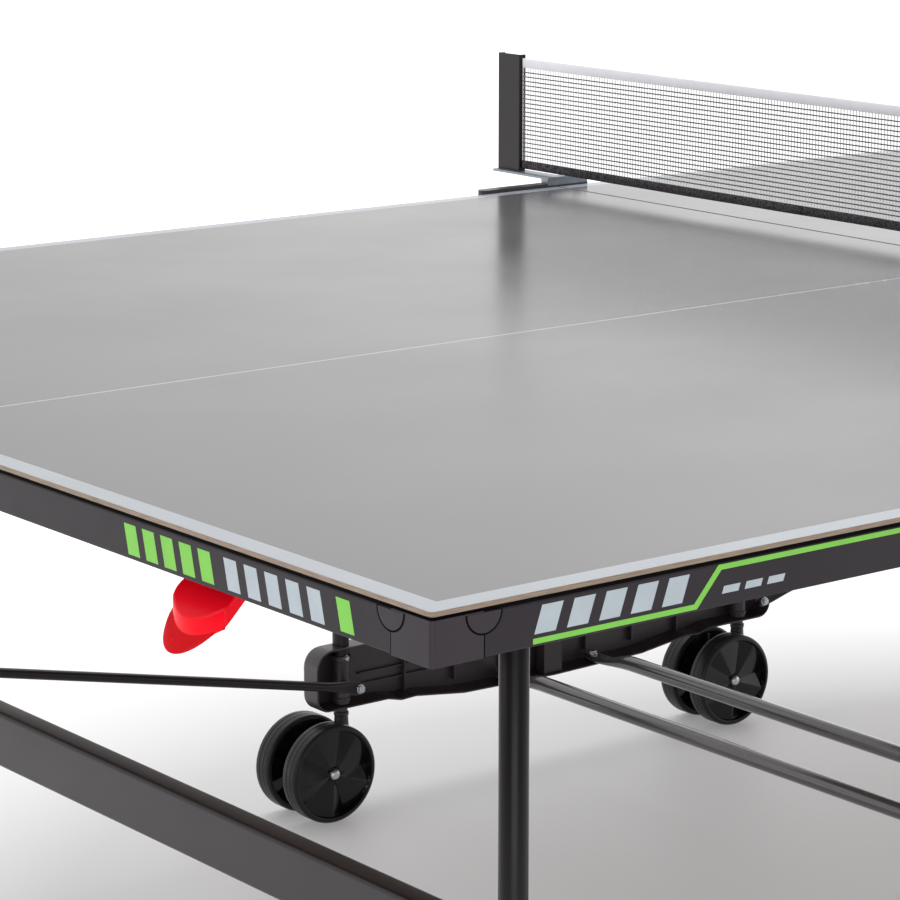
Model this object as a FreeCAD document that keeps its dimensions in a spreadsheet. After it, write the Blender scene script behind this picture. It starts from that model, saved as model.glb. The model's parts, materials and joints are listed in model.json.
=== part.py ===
import FreeCAD, Part
import math
import os
import Sketcher

# Folding ping pong table, in millimetres.
# Origin: floor level under the middle of the net. +X runs along the playing length, +Y across, +Z up.
# The half at -X is called left, the half at +X right; -Y is the near side, +Y the far side.

DIMENSIONS = {
    # playing surface
    "table_length": 2740,
    "table_width": 1525,
    "table_height": 760,
    "panel_thickness": 4,
    "seam_gap": 4,
    "panel_corner": 4,
    # how far a cutting tool passes the face that it cuts, and how far fused pieces run into each other
    "overcut": 1,
    "overlap": 1,
    # frame under each half
    "rail_height": 36,
    "rail_width": 18,
    "rail_wall": 1.5,
    "rail_inset": 1.5,
    "rail_start": 40,
    "inner_rail_width": 20,
    "brace_width": 25,
    "brace_depth": 25,
    "brace_offset": 254,
    "cap_length": 45,
    "cap_inset": 0.5,
    "cap_wall": 3,
    "cap_lug_radius": 15,
    "cap_lug_drop": 3,
    # fold pivot of each half
    "fold_x": 332,
    "fold_z": 532,
    "fold_plate": 4,
    "fold_plate_top": 70,
    "fold_plate_foot": 18,
    "pivot_radius": 5,
    "running_gap": 0.05,
    "pin_past_post": 4,
    "pin_past_plate": 1.5,
    "bracket_lip": 6,
    # leg frames
    "leg_x": 1249,
    "leg_y": 701,
    "leg_radius": 11,
    "leg_wall": 1.5,
    "leg_bottom": 14,
    "leg_pivot_z": 735,
    "leg_top": 747,
    "leg_pin_radius": 4,
    "crossbar_bottom": 433,
    "crossbar_height": 51,
    "crossbar_width": 24,
    "crossbar_wall": 1.5,
    "hinge_block_length": 40,
    "hinge_block_inner": 717,
    "hinge_block_clearance": 2,
    "hinge_pin_past_leg": 3,
    "foot_radius": 17,
    "foot_height": 12,
    "foot_stem_radius": 9.3,
    "foot_stem_top": 80,
    # link rods between carriage and legs
    "link_x": 340,
    "link_z": 168,
    "link_leg_z": 367,
    "link_y": 730,
    "link_radius": 6,
    "link_eye_radius": 10,
    "link_bolt_radius": 4,
    "link_head_radius": 7,
    "link_head_height": 5,
    "link_head_gap": 0.5,
    # carriage
    "post_x": 335,
    "post_y": 775,
    "post_radius": 10.5,
    "post_wall": 1.5,
    "post_bottom": 201,
    "post_top": 548,
    "beam_half_length": 382,
    "beam_inner_y": 760,
    "beam_depth": 32,
    "beam_wall": 2.5,
    "beam_bottom": 117,
    "beam_top": 213,
    "beam_corner": 18,
    "beam_belly_x": 150,
    "beam_belly_rise": 3,
    "beam_step_x": 250,
    "beam_step_rise": 14,
    "beam_end_rise": 17,
    "beam_shoulder_x": 270,
    "beam_dip_x": 190,
    "beam_dip": 29,
    "beam_middle_dip": 33,
    "beam_upright_gap": 0.1,
    "socket_radius": 12.4,
    "socket_gap": 0.5,
    "socket_bottom": 137,
    "cross_tube_x": 75,
    "cross_tube_z": 134,
    "cross_tube_radius": 10,
    "cross_tab_inner": 742,
    "cross_tab_outer": 782,
    "cross_tab_width": 26,
    "cross_tab_bottom": 122,
    "cross_tab_thickness": 8,
    "cross_bolt_radius": 6.5,
    "cross_bolt_height": 6,
    "cross_bolt_setback": 8,
    # casters
    "wheel_radius": 62.5,
    "wheel_width": 28,
    "wheel_spacing": 58,
    "wheel_bore_radius": 4.05,
    "tyre_thickness": 8,
    "caster_trail": 40,
    "stem_radius": 6,
    "stem_top": 180,
    "stem_rise": 40,
    "collar_rise": 4,
    "collar_height": 44,
    "fork_width": 18,
    "fork_arm_past_axle": 12,
    "fork_arm_past_stem": 2,
    "fork_arm_drop": 12,
    "fork_arm_height": 34,
    "axle_radius": 4,
    "axle_past_wheel": 3,
    "nut_radius": 8,
    "nut_height": 4,
    "hub_recess": 2,
    "pedal_reach": 58,
    "pedal_length": 54,
    "pedal_width": 22,
    "pedal_thickness": 7,
    "pedal_rise": 34,
    "pedal_pivot_back": 6,
    "pedal_pivot_rise": 36,
    "pedal_boss_radius": 7,
    "pedal_boss_width": 16,
    # release levers
    "lever_y": 443.5,
    "lever_width": 71,
    "lever_front_x": 1356.5,
    "lever_front_top": 685.5,
    "lever_depth": 15.5,
    "lever_front_radius": 60,
    "lever_brim_x": 1368.5,
    "lever_brim_radius": 38.6,
    "lever_brim_depth": 2.5,
    "lever_brim_root_x": 1330,
    "lever_pivot_x": 1298,
    "lever_pivot_z": 736,
    "lever_eye_radius": 7,
    "lever_pin_radius": 3,
    "ear_thickness": 3,
    "ear_setback": 6,
    "ear_past_pivot": 10,
    "ear_above_pivot": 8,
    # net
    "net_height": 156.5,
    "net_clearance": 15.5,
    "net_post_inner": 834,
    "net_post_width": 44,
    "net_post_thickness": 3,
    "net_post_flange": 10,
    "net_thickness": 1.2,
    "net_tape": 12,
    "net_band": 11,
    "net_plate_left": 118,
    "net_plate_right": 56,
    "net_bar_end": 14,
    "net_bar_top": 764,
    "net_bar_thickness": 7,
    "net_plate_inner": 765,
    "net_plate_width": 16,
    "net_plate_thickness": 5,
    "net_plate_top": 761.5,
    "net_tube_width": 30,
    "net_tube_bottom": 120,
    "net_arm_width": 26,
    "net_arm_thickness": 3,
    "net_post_rise": 4.5,
    "clamp_jaw_thickness": 10.5,
    "clamp_jaw_inset": 1,
    "clamp_jaw_end": 12,
    "clamp_x": 40,
    "clamp_radius": 3,
    "clamp_shaft_length": 30,
    "clamp_head_height": 3,
    "clamp_hole_depth": 20,
    "clamp_knob_radius": 9,
    "clamp_knob_height": 20,
}

PLACE = ("Placement.Base.x", "Placement.Base.y", "Placement.Base.z")
SIDES = {"near": -1, "far": 1}
HALVES = {"left": -1, "right": 1}
TURN_TO = {
    "x": FreeCAD.Rotation(FreeCAD.Vector(0, 1, 0), 90),
    "y": FreeCAD.Rotation(FreeCAD.Vector(1, 0, 0), -90),
    "z": FreeCAD.Rotation(),
}
NORMALS = {
    "x": FreeCAD.Vector(1, 0, 0),
    "y": FreeCAD.Vector(0, 1, 0),
}

doc = FreeCAD.newDocument("PingPongTable")
nodes = []


# ---------------------------------------------------------------- spreadsheet and binding

def make_sheet():
    """Write every driving dimension into its own aliased cell."""
    table = doc.addObject("Spreadsheet::Sheet", "Dims")
    for row, (alias, number) in enumerate(DIMENSIONS.items(), start=1):
        table.set(f"A{row}", alias)
        table.set(f"B{row}", str(number))
        table.setAlias(f"B{row}", alias)
    doc.recompute()
    return table


sheet = make_sheet()


def dim(expression):
    """Prefix each alias in a short expression with the sheet's name."""
    words = []
    word = ""
    for character in str(expression) + " ":
        if character.isalnum() or character in "_.":
            word += character
            continue
        words.append("Dims." + word if word in DIMENSIONS else word)
        words.append(character)
        word = ""
    return "".join(words).strip()


def value(expression):
    """The number that an expression gives now."""
    return float(sheet.evalExpression(dim(expression)))


def bind(item, expressions):
    """Bind properties of an object to expressions of the sheet."""
    for path, expression in expressions.items():
        item.setExpression(path, dim(expression))


# ---------------------------------------------------------------- part primitives

def box(name, start, size):
    """A box from its lowest corner and its three sizes."""
    item = doc.addObject("Part::Box", name)
    bind(item, dict(zip(("Length", "Width", "Height"), size)))
    bind(item, dict(zip(PLACE, start)))
    return item


def rod(name, start, axis, radius, length):
    """A round bar from the centre of its first end, along x, y or z."""
    item = doc.addObject("Part::Cylinder", name)
    item.Placement.Rotation = TURN_TO[axis]
    bind(item, {"Radius": radius, "Height": length})
    bind(item, dict(zip(PLACE, start)))
    return item


def fused(name, items):
    """Several overlapping shapes as one solid."""
    item = doc.addObject("Part::MultiFuse", name)
    item.Shapes = items
    item.Refine = True
    return item


def cut(name, base, tool):
    """A base shape with a tool shape removed."""
    item = doc.addObject("Part::Cut", name)
    item.Base = base
    item.Tool = tool
    return item


def common(name, first, second):
    """The volume that two shapes share."""
    item = doc.addObject("Part::Common", name)
    item.Base = first
    item.Tool = second
    return item


def mirrored(name, source, axis):
    """The mirror image of a shape across the plane through the origin normal to an axis."""
    item = doc.addObject("Part::Mirroring", name)
    item.Source = source
    item.Normal = NORMALS[axis]
    return item


def group(name, items):
    """Separate solids that share one node."""
    item = doc.addObject("Part::Compound", name)
    item.Links = items
    return item


def node(item, label):
    """Keep an object as a sub-part under its own name."""
    item.Label = label
    nodes.append(item)
    return item


def pair_across_y(name, source):
    """A near piece and its far twin, as one group."""
    return group(name, [source, mirrored(name + "_far_twin", source, "y")])


def both_halves(source, label):
    """A left piece and its right mirror image, as two sub-parts."""
    node(source, label + "_left")
    node(mirrored(label + "_mirror", source, "x"), label + "_right")


def tube(name, start, axis, radius, wall, length):
    """A round tube, open at both ends."""
    outer = rod(name + "_outer", start, axis, radius, length)
    inner = rod(name + "_inner", start, axis, f"{radius} - {wall}", length)
    return cut(name, outer, inner)


def box_tube(name, start, size, wall, along):
    """A rectangular tube, open at both ends of the axis it runs along."""
    outer = box(name + "_outer", start, size)
    letters = ("x", "y", "z")
    inner_start = [
        first if letter == along else f"{first} + {wall}" for letter, first in zip(letters, start)
    ]
    inner_size = [
        length if letter == along else f"{length} - 2 * {wall}" for letter, length in zip(letters, size)
    ]
    inner = box(name + "_inner", inner_start, inner_size)
    return cut(name, outer, inner)


# ---------------------------------------------------------------- part design

def new_body(name):
    """An empty body for sketches and features."""
    return doc.addObject("PartDesign::Body", name)


def new_sketch(body, name, role, offset="0"):
    """A sketch on one of the body's origin planes, moved along the plane's normal."""
    sketch = body.newObject("Sketcher::SketchObject", name)
    plane = next(item for item in body.Origin.OriginFeatures if item.Role == role)
    sketch.AttachmentSupport = [(plane, "")]
    sketch.MapMode = "FlatFace"
    bind(sketch, {"AttachmentOffset.Base.z": offset})
    return sketch


def pin_point(sketch, edge, place, point):
    """Fix one point of a sketch edge at a pair of expressions."""
    for kind, expression in zip(("DistanceX", "DistanceY"), point):
        index = sketch.addConstraint(
            Sketcher.Constraint(kind, -1, 1, edge, place, value(expression))
        )
        sketch.setExpression(f"Constraints[{index}]", dim(expression))


def outline(sketch, corners):
    """A closed outline of straight edges through corners given as expressions."""
    points = [FreeCAD.Vector(value(across), value(up), 0) for across, up in corners]
    first = sketch.GeometryCount
    count = len(points)
    for index, point in enumerate(points):
        sketch.addGeometry(Part.LineSegment(point, points[(index + 1) % count]), False)
    for index in range(count):
        following = first + (index + 1) % count
        sketch.addConstraint(Sketcher.Constraint("Coincident", first + index, 2, following, 1))
    for index, corner in enumerate(corners):
        pin_point(sketch, first + index, 1, corner)


def circle(sketch, centre, radius):
    """A circle with its centre and radius given as expressions."""
    middle = FreeCAD.Vector(value(centre[0]), value(centre[1]), 0)
    edge = sketch.addGeometry(Part.Circle(middle, FreeCAD.Vector(0, 0, 1), value(radius)), False)
    pin_point(sketch, edge, 3, centre)
    index = sketch.addConstraint(Sketcher.Constraint("Radius", edge, value(radius)))
    sketch.setExpression(f"Constraints[{index}]", dim(radius))


def pad(body, sketch, length):
    """Thicken a sketch along its normal."""
    feature = body.newObject("PartDesign::Pad", sketch.Name + "_pad")
    feature.Profile = sketch
    bind(feature, {"Length": length})
    sketch.Visibility = False
    doc.recompute()
    return feature


def pocket(body, sketch, length):
    """Cut a sketch out of the body, along whichever side of it holds material."""
    before = body.Shape.Volume
    feature = body.newObject("PartDesign::Pocket", sketch.Name + "_pocket")
    feature.Profile = sketch
    bind(feature, {"Length": length})
    doc.recompute()
    if not body.Shape.Volume < before - 1e-3:
        feature.Reversed = True
        doc.recompute()
    if not body.Shape.Volume < before - 1e-3:
        raise RuntimeError(f"{feature.Name} cuts nothing")
    return feature


def fillet(body, feature, radius, chosen):
    """Round the edges of a feature that a test picks out."""
    names = [
        f"Edge{number}" for number, edge in enumerate(feature.Shape.Edges, start=1) if chosen(edge)
    ]
    rounding = body.newObject("PartDesign::Fillet", feature.Name + "_fillet")
    rounding.Base = (feature, names)
    bind(rounding, {"Radius": radius})
    doc.recompute()
    return rounding


def runs_along(direction):
    """A test for straight edges parallel to a direction."""
    def test(edge):
        if not isinstance(edge.Curve, Part.Line):
            return False
        return abs(abs(edge.Curve.Direction.dot(direction)) - 1) < 1e-6
    return test


Y_AXIS = FreeCAD.Vector(0, 1, 0)
Z_AXIS = FreeCAD.Vector(0, 0, 1)


# ---------------------------------------------------------------- playing surface and its frame

PANEL_BOTTOM = "(table_height - panel_thickness)"
RAIL_BOTTOM = "(table_height - panel_thickness - rail_height)"
END_FACE = "(table_length / 2 - rail_inset)"
SIDE_FACE = "(table_width / 2 - rail_inset)"
SIDE_INNER = "(table_width / 2 - rail_inset - rail_width)"


def make_top_panel():
    """One half of the playing surface, with its two outer corners rounded."""
    body = new_body("panel_body")
    sketch = new_sketch(body, "panel_outline", "XY_Plane", PANEL_BOTTOM)
    outline(sketch, [
        ("-table_length / 2", "-table_width / 2"),
        ("-seam_gap / 2", "-table_width / 2"),
        ("-seam_gap / 2", "table_width / 2"),
        ("-table_length / 2", "table_width / 2"),
    ])
    slab = pad(body, sketch, "panel_thickness")
    outer_end = -value("table_length") / 2 + 1
    upright = runs_along(Z_AXIS)
    fillet(body, slab, "panel_corner", lambda edge: upright(edge) and edge.CenterOfMass.x < outer_end)
    both_halves(body, "top_panel")


def channel_corners(outer, inner, wall_side):
    """Corners of a C section whose web is at outer and whose lips reach inner."""
    top = PANEL_BOTTOM
    bottom = RAIL_BOTTOM
    web = f"{outer} {wall_side} rail_wall"
    return [
        (outer, bottom), (inner, bottom), (inner, f"{bottom} + rail_wall"),
        (web, f"{bottom} + rail_wall"), (web, f"{top} - rail_wall"),
        (inner, f"{top} - rail_wall"), (inner, top), (outer, top),
    ]


def make_end_rail():
    """The end apron: a C section across the table, with ears for the release lever pins."""
    body = new_body("end_rail_body")
    half_span = "(table_width / 2 - cap_length)"
    sketch = new_sketch(body, "end_rail_section", "XZ_Plane", f"-{half_span}")
    outline(sketch, channel_corners(f"-{END_FACE}", f"-{END_FACE} + rail_width", "+"))
    pad(body, sketch, f"2 * {half_span}")
    ear_size = (
        f"{END_FACE} - ear_setback - lever_pivot_x + ear_past_pivot",
        "ear_thickness",
        f"lever_pivot_z + ear_above_pivot - {RAIL_BOTTOM}",
    )
    ears = []
    for side, sign in SIDES.items():
        for edge, shift in (("inner", -1), ("outer", 1)):
            middle = f"{sign} * lever_y + {shift} * (lever_width / 2 + ear_thickness)"
            start = (f"-{END_FACE} + ear_setback", f"{middle} - ear_thickness / 2", RAIL_BOTTOM)
            ears.append(box(f"lever_ear_{side}_{edge}", start, ear_size))
        pin_start = ("-lever_pivot_x", f"{sign} * lever_y - lever_width / 2 - ear_thickness", "lever_pivot_z")
        ears.append(rod(f"lever_pin_{side}", pin_start, "y", "lever_pin_radius",
                        "lever_width + 2 * ear_thickness"))
    both_halves(fused("end_rail_with_ears", [body] + ears), "end_rail")


def make_side_rails():
    """The two long aprons of a half, C sections open towards the middle."""
    body = new_body("side_rail_body")
    sketch = new_sketch(body, "side_rail_section", "YZ_Plane", "-(table_length / 2 - cap_length)")
    outline(sketch, channel_corners(f"-{SIDE_FACE}", f"-{SIDE_INNER}", "+"))
    pad(body, sketch, "table_length / 2 - cap_length - rail_start")
    both_halves(pair_across_y("side_rail_pair", body), "side_rails")


def make_inner_rail():
    """The frame tube beside the net, between the side rails."""
    tube_part = box_tube(
        "inner_rail_tube",
        ("-rail_start - inner_rail_width", f"-{SIDE_INNER}", RAIL_BOTTOM),
        ("inner_rail_width", f"2 * {SIDE_INNER}", "rail_height"),
        "rail_wall", "y",
    )
    both_halves(tube_part, "inner_rail")


def make_braces():
    """Two stiffening tubes under the panel, from the end rail to the inner rail."""
    start_x = f"-{END_FACE} + rail_width"
    length = f"{END_FACE} - rail_width - rail_start - inner_rail_width"
    brace = box_tube(
        "brace_tube",
        (start_x, "-brace_offset - brace_width / 2", f"{PANEL_BOTTOM} - brace_depth"),
        (length, "brace_width", "brace_depth"),
        "rail_wall", "x",
    )
    both_halves(pair_across_y("brace_pair", brace), "stiffening_braces")


def make_corner_caps():
    """Moulded corner pieces: two walls round the corner, each ending in a half-disc lug."""
    body = new_body("corner_cap_body")
    end_face = "-(table_length / 2 - cap_inset)"
    side_face = "-(table_width / 2 - cap_inset)"
    end_seam = "-(table_length / 2 - cap_length)"
    side_seam = "-(table_width / 2 - cap_length)"
    sketch = new_sketch(body, "corner_cap_walls", "XY_Plane", RAIL_BOTTOM)
    outline(sketch, [
        (end_face, side_face), (end_seam, side_face), (end_seam, f"{side_face} + cap_wall"),
        (f"{end_face} + cap_wall", f"{side_face} + cap_wall"),
        (f"{end_face} + cap_wall", side_seam), (end_face, side_seam),
    ])
    pad(body, sketch, "rail_height")
    lug_height = f"{PANEL_BOTTOM} - cap_lug_drop"
    lug_depth = "rail_inset - cap_inset"
    end_lug = rod("end_lug", (end_face, side_seam, lug_height), "x", "cap_lug_radius", lug_depth)
    side_lug = rod("side_lug", (end_seam, side_face, lug_height), "y", "cap_lug_radius", lug_depth)
    above = box("above_lugs", ("-table_length", "-table_width", lug_height),
                ("table_length", "table_width", "cap_lug_radius * 2"))
    lugs = cut("half_lugs", group("lug_discs", [end_lug, side_lug]), above)
    cap = fused("corner_cap", [body, lugs])
    both_halves(pair_across_y("corner_cap_pair", cap), "corner_caps")


def make_fold_brackets():
    """Plates that hang from the side rails to the fold pivot."""
    body = new_body("fold_plate_body")
    sketch = new_sketch(body, "fold_plate_outline", "XZ_Plane", SIDE_INNER + " - fold_plate")
    outline(sketch, [
        ("-fold_x - fold_plate_foot", "fold_z"),
        ("-fold_x + fold_plate_foot", "fold_z"),
        ("-fold_x + fold_plate_top", RAIL_BOTTOM),
        ("-fold_x + fold_plate_top", f"{PANEL_BOTTOM} - bracket_lip"),
        ("-fold_x - fold_plate_top", f"{PANEL_BOTTOM} - bracket_lip"),
        ("-fold_x - fold_plate_top", RAIL_BOTTOM),
    ])
    pad(body, sketch, "fold_plate")
    foot = new_sketch(body, "fold_plate_foot_disc", "XZ_Plane", SIDE_INNER + " - fold_plate")
    circle(foot, ("-fold_x", "fold_z"), "fold_plate_foot")
    pad(body, foot, "fold_plate")
    hole = new_sketch(body, "fold_plate_bore", "XZ_Plane", SIDE_INNER + " - fold_plate")
    circle(hole, ("-fold_x", "fold_z"), "pivot_radius + running_gap")
    pocket(body, hole, "fold_plate")
    both_halves(pair_across_y("fold_plate_pair", body), "fold_brackets")


def make_leg_hinge_brackets():
    """Blocks on the side rails, each with a pin through the head of a leg."""
    block = box("hinge_block",
                ("-leg_x - hinge_block_length / 2", f"-{SIDE_INNER}",
                 f"{RAIL_BOTTOM} + hinge_block_clearance"),
                ("hinge_block_length", f"{SIDE_INNER} - hinge_block_inner",
                 "rail_height - 2 * hinge_block_clearance"))
    pin = rod("hinge_pin", ("-leg_x", "-hinge_block_inner - overlap", "leg_pivot_z"), "y", "leg_pin_radius",
              "hinge_block_inner + overlap - leg_y + leg_radius + hinge_pin_past_leg")
    bracket = fused("hinge_bracket", [block, pin])
    both_halves(pair_across_y("hinge_bracket_pair", bracket), "leg_hinge_brackets")


# ---------------------------------------------------------------- leg frames and feet

def make_leg_tubes():
    """Two round leg tubes with a cross bore at the head and a stud for the link rod."""
    start = ("-leg_x", "-leg_y", "leg_bottom")
    pipe = tube("leg_pipe", start, "z", "leg_radius", "leg_wall", "leg_top - leg_bottom")
    bore = rod("leg_head_bore", ("-leg_x", "-leg_y - 2 * leg_radius", "leg_pivot_z"), "y",
               "leg_pin_radius + running_gap", "4 * leg_radius")
    stud_start = "-link_y + link_radius + 2 * link_head_gap"
    stud = rod("leg_stud", ("-leg_x", stud_start, "link_leg_z"), "y",
               "link_bolt_radius", f"-leg_y - leg_radius + overlap - ({stud_start})")
    leg = fused("leg", [cut("leg_bored", pipe, bore), stud])
    both_halves(pair_across_y("leg_pair", leg), "leg_tubes")


def make_leg_crossbar():
    """The flat rectangular tube between the two legs, with rounded long edges."""
    body = new_body("crossbar_body")
    reach = "(leg_y - leg_radius)"
    sketch = new_sketch(body, "crossbar_section", "XZ_Plane", f"-{reach}")
    left = "-leg_x - crossbar_width / 2"
    right = "-leg_x + crossbar_width / 2"
    top = "crossbar_bottom + crossbar_height"
    outline(sketch, [(left, "crossbar_bottom"), (right, "crossbar_bottom"), (right, top), (left, top)])
    bar = pad(body, sketch, f"2 * {reach}")
    fillet(body, bar, "crossbar_wall * 3", runs_along(Y_AXIS))
    hollow = new_sketch(body, "crossbar_hollow", "XZ_Plane", f"-{reach}")
    outline(hollow, [
        (f"{left} + 1.5 * crossbar_wall", "crossbar_bottom + 1.5 * crossbar_wall"),
        (f"{right} - 1.5 * crossbar_wall", "crossbar_bottom + 1.5 * crossbar_wall"),
        (f"{right} - 1.5 * crossbar_wall", f"{top} - 1.5 * crossbar_wall"),
        (f"{left} + 1.5 * crossbar_wall", f"{top} - 1.5 * crossbar_wall"),
    ])
    pocket(body, hollow, f"2 * {reach}")
    both_halves(body, "leg_crossbar")


def make_levelling_feet():
    """Screw-out feet: a disc on the floor and a stem inside the leg."""
    for half, x_sign in HALVES.items():
        for side, y_sign in SIDES.items():
            place = f"{half}_{side}"
            centre = (f"{x_sign} * leg_x", f"{y_sign} * leg_y")
            disc = rod(f"foot_disc_{place}", (*centre, "0"), "z", "foot_radius", "foot_height")
            stem = rod(f"foot_stem_{place}", (*centre, "foot_height - overlap"), "z",
                       "foot_stem_radius", "foot_stem_top - foot_height + overlap")
            node(fused(f"foot_{place}", [disc, stem]), f"levelling_foot_{side}_{half}")


# ---------------------------------------------------------------- link rods

def make_link_rods():
    """Thin rods from the carriage to the legs, with a bored eye at the carriage end."""
    rise = "(link_leg_z - link_z)"
    run = "(leg_x - link_x)"
    span = f"sqrt({run} * {run} + {rise} * {rise})"
    bar = doc.addObject("Part::Cylinder", "link_bar")
    bind(bar, {
        "Radius": "link_radius",
        "Height": span,
        "Placement.Base.x": "-link_x",
        "Placement.Base.y": "-link_y",
        "Placement.Base.z": "link_z",
    })
    bar.Placement.Rotation = FreeCAD.Rotation(Y_AXIS, -math.degrees(math.atan2(value(run), value(rise))))
    eye_start = "-link_y - link_radius"
    inner_eye = rod("link_eye_inner", ("-link_x", eye_start, "link_z"), "y",
                    "link_eye_radius", "2 * link_radius")
    outer_eye = rod("link_eye_outer", ("-leg_x", eye_start, "link_leg_z"), "y",
                    "link_eye_radius", "2 * link_radius")
    bore = rod("link_bore", ("-link_x", f"{eye_start} - overcut", "link_z"), "y",
               "link_bolt_radius + running_gap", "2 * link_radius + 2 * overcut")
    link = cut("link_rod", fused("link_rod_blank", [bar, inner_eye, outer_eye]), bore)
    both_halves(pair_across_y("link_rod_pair", link), "link_rods")


# ---------------------------------------------------------------- carriage

def beam_corners(inset):
    """Side view of a carriage beam: deep ends, a shallow middle, a small step below each end."""
    end = f"(beam_half_length - {inset})"
    low = f"beam_bottom + {inset}"
    high = f"beam_top - {inset}"
    right = [
        ("0", low), ("beam_belly_x", f"{low} + beam_belly_rise"),
        (f"beam_step_x + {inset}", f"{low} + beam_step_rise"),
        (f"{end} - beam_corner", f"{low} + beam_end_rise"),
        (end, "beam_bottom + beam_end_rise + beam_corner"), (end, "beam_top - beam_corner"),
        (f"{end} - beam_corner", high), ("beam_shoulder_x", high),
        ("beam_dip_x", f"{high} - beam_dip"), ("0", f"{high} - beam_middle_dip"),
    ]
    left = [(f"-({across})", up) for across, up in right[-2:0:-1]]
    return right + left


def make_side_beams():
    """Tray-shaped side beams, open towards the middle of the table."""
    body = new_body("beam_body")
    outer = new_sketch(body, "beam_outline", "XZ_Plane", "beam_inner_y")
    outline(outer, beam_corners("0"))
    pad(body, outer, "beam_depth")
    hollow = new_sketch(body, "beam_hollow", "XZ_Plane", "beam_inner_y")
    outline(hollow, beam_corners("beam_wall"))
    pocket(body, hollow, "beam_depth - beam_wall")
    upright_start = ("-net_tube_width / 2 - beam_upright_gap",
                     "-net_plate_inner - net_plate_width - beam_upright_gap", "cross_tube_z")
    upright_size = ("net_tube_width + 2 * beam_upright_gap", "net_plate_width + 2 * beam_upright_gap",
                    "beam_top - cross_tube_z")
    holes = [box("beam_upright_hole", upright_start, upright_size)]
    for half, sign in HALVES.items():
        holes.append(rod(f"beam_post_hole_{half}", (f"{sign} * post_x", "-post_y", "beam_bottom"), "z",
                         "socket_radius + socket_gap", "beam_top - beam_bottom + overcut"))
    near = cut("side_beam", body, group("beam_post_holes", holes))
    node(near, "side_beam_near")
    node(mirrored("side_beam_mirror", near, "y"), "side_beam_far")


def four_posts(name, make):
    """The same piece at the four carriage corners, as one group."""
    first = make()
    near = group(f"{name}_near", [first, mirrored(f"{name}_right", first, "x")])
    return group(name, [near, mirrored(f"{name}_far", near, "y")])


def make_carriage_posts():
    """Sockets for the casters, the upright tubes above them, and their pins and bolts."""
    centre = ("-post_x", "-post_y")

    def socket():
        outer = rod("socket_outer", (*centre, "socket_bottom"), "z", "socket_radius",
                    "post_bottom - socket_bottom")
        bore = rod("socket_bore", (*centre, "socket_bottom - overcut"), "z",
                   "stem_radius + running_gap", "stem_top - socket_bottom + 2 * overcut")
        bolt_hole = rod("socket_bolt_hole",
                        ("-link_x", "-post_y + socket_radius - overlap - running_gap", "link_z"),
                        "y", "link_bolt_radius + running_gap", "socket_radius")
        return cut("socket", outer, group("socket_holes", [bore, bolt_hole]))

    def upright():
        height = "post_top - post_bottom"
        pipe = tube("post_pipe", (*centre, "post_bottom"), "z", "post_radius", "post_wall", height)
        hole = rod("post_pin_hole", ("-fold_x", "-post_y - 2 * post_radius", "fold_z"), "y",
                   "pivot_radius + 2 * running_gap", "4 * post_radius")
        return cut("post", pipe, hole)

    def fasteners():
        pin_length = f"post_y + post_radius + pin_past_post - {SIDE_INNER} + fold_plate + pin_past_plate"
        pin = rod("fold_pin", ("-fold_x", "-post_y - post_radius - pin_past_post", "fold_z"), "y",
                  "pivot_radius", pin_length)
        bolt_start = "-post_y + socket_radius - overlap"
        bolt = rod("link_bolt", ("-link_x", bolt_start, "link_z"), "y", "link_bolt_radius",
                   f"-link_y + link_radius + overlap - ({bolt_start})")
        head = rod("link_bolt_head", ("-link_x", "-link_y + link_radius + link_head_gap", "link_z"),
                   "y", "link_head_radius", "link_head_height")
        return group("post_fasteners", [pin, fused("link_bolt_whole", [bolt, head])])

    node(four_posts("caster_socket_group", socket), "caster_sockets")
    node(four_posts("post_group", upright), "upright_tubes")
    node(four_posts("fastener_group", fasteners), "pivot_pins_and_bolts")


def make_cross_tubes():
    """Two round tubes between the side beams, flattened and bolted at their ends."""
    pipe = rod("cross_bar", ("-cross_tube_x", "-cross_tab_inner", "cross_tube_z"), "y",
               "cross_tube_radius", "2 * cross_tab_inner")
    tabs = []
    for side, sign in SIDES.items():
        low = "-cross_tab_outer" if sign < 0 else "cross_tab_inner - 2 * overlap"
        tab = box(f"cross_tab_{side}",
                  ("-cross_tube_x - cross_tab_width / 2", low, "cross_tab_bottom"),
                  ("cross_tab_width", "cross_tab_outer - cross_tab_inner + 2 * overlap",
                   "cross_tab_thickness"))
        bolt = rod(f"cross_bolt_{side}",
                   ("-cross_tube_x", f"{sign} * (cross_tab_outer - cross_bolt_setback)",
                    "cross_tab_bottom + cross_tab_thickness - overlap"),
                   "z", "cross_bolt_radius", "cross_bolt_height")
        tabs.extend([tab, bolt])
    whole = fused("cross_tube", [pipe] + tabs)
    node(group("cross_tube_pair", [whole, mirrored("cross_tube_twin", whole, "x")]), "cross_tubes")


# ---------------------------------------------------------------- casters

def make_wheel(label, centre):
    """A twin-caster wheel: a tyre ring around a dished hub with five ribs."""
    x, y, z = centre
    start = (x, f"{y} - wheel_width / 2", z)
    tread = rod(f"{label}_tread", start, "y", "wheel_radius", "wheel_width")
    inside = rod(f"{label}_tread_inside", start, "y", "wheel_radius - tyre_thickness", "wheel_width")
    tyre = cut(f"{label}_tyre", tread, inside)
    disc = rod(f"{label}_disc", (x, f"{y} - wheel_width / 2 + hub_recess", z), "y",
               "wheel_radius - tyre_thickness", "wheel_width - 2 * hub_recess")
    bore = rod(f"{label}_bore", (x, f"{y} - wheel_width", z), "y", "wheel_bore_radius",
               "2 * wheel_width")
    hub = cut(f"{label}_hub", disc, bore)
    node(group(f"{label}_solids", [tyre, hub]), label)


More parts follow.
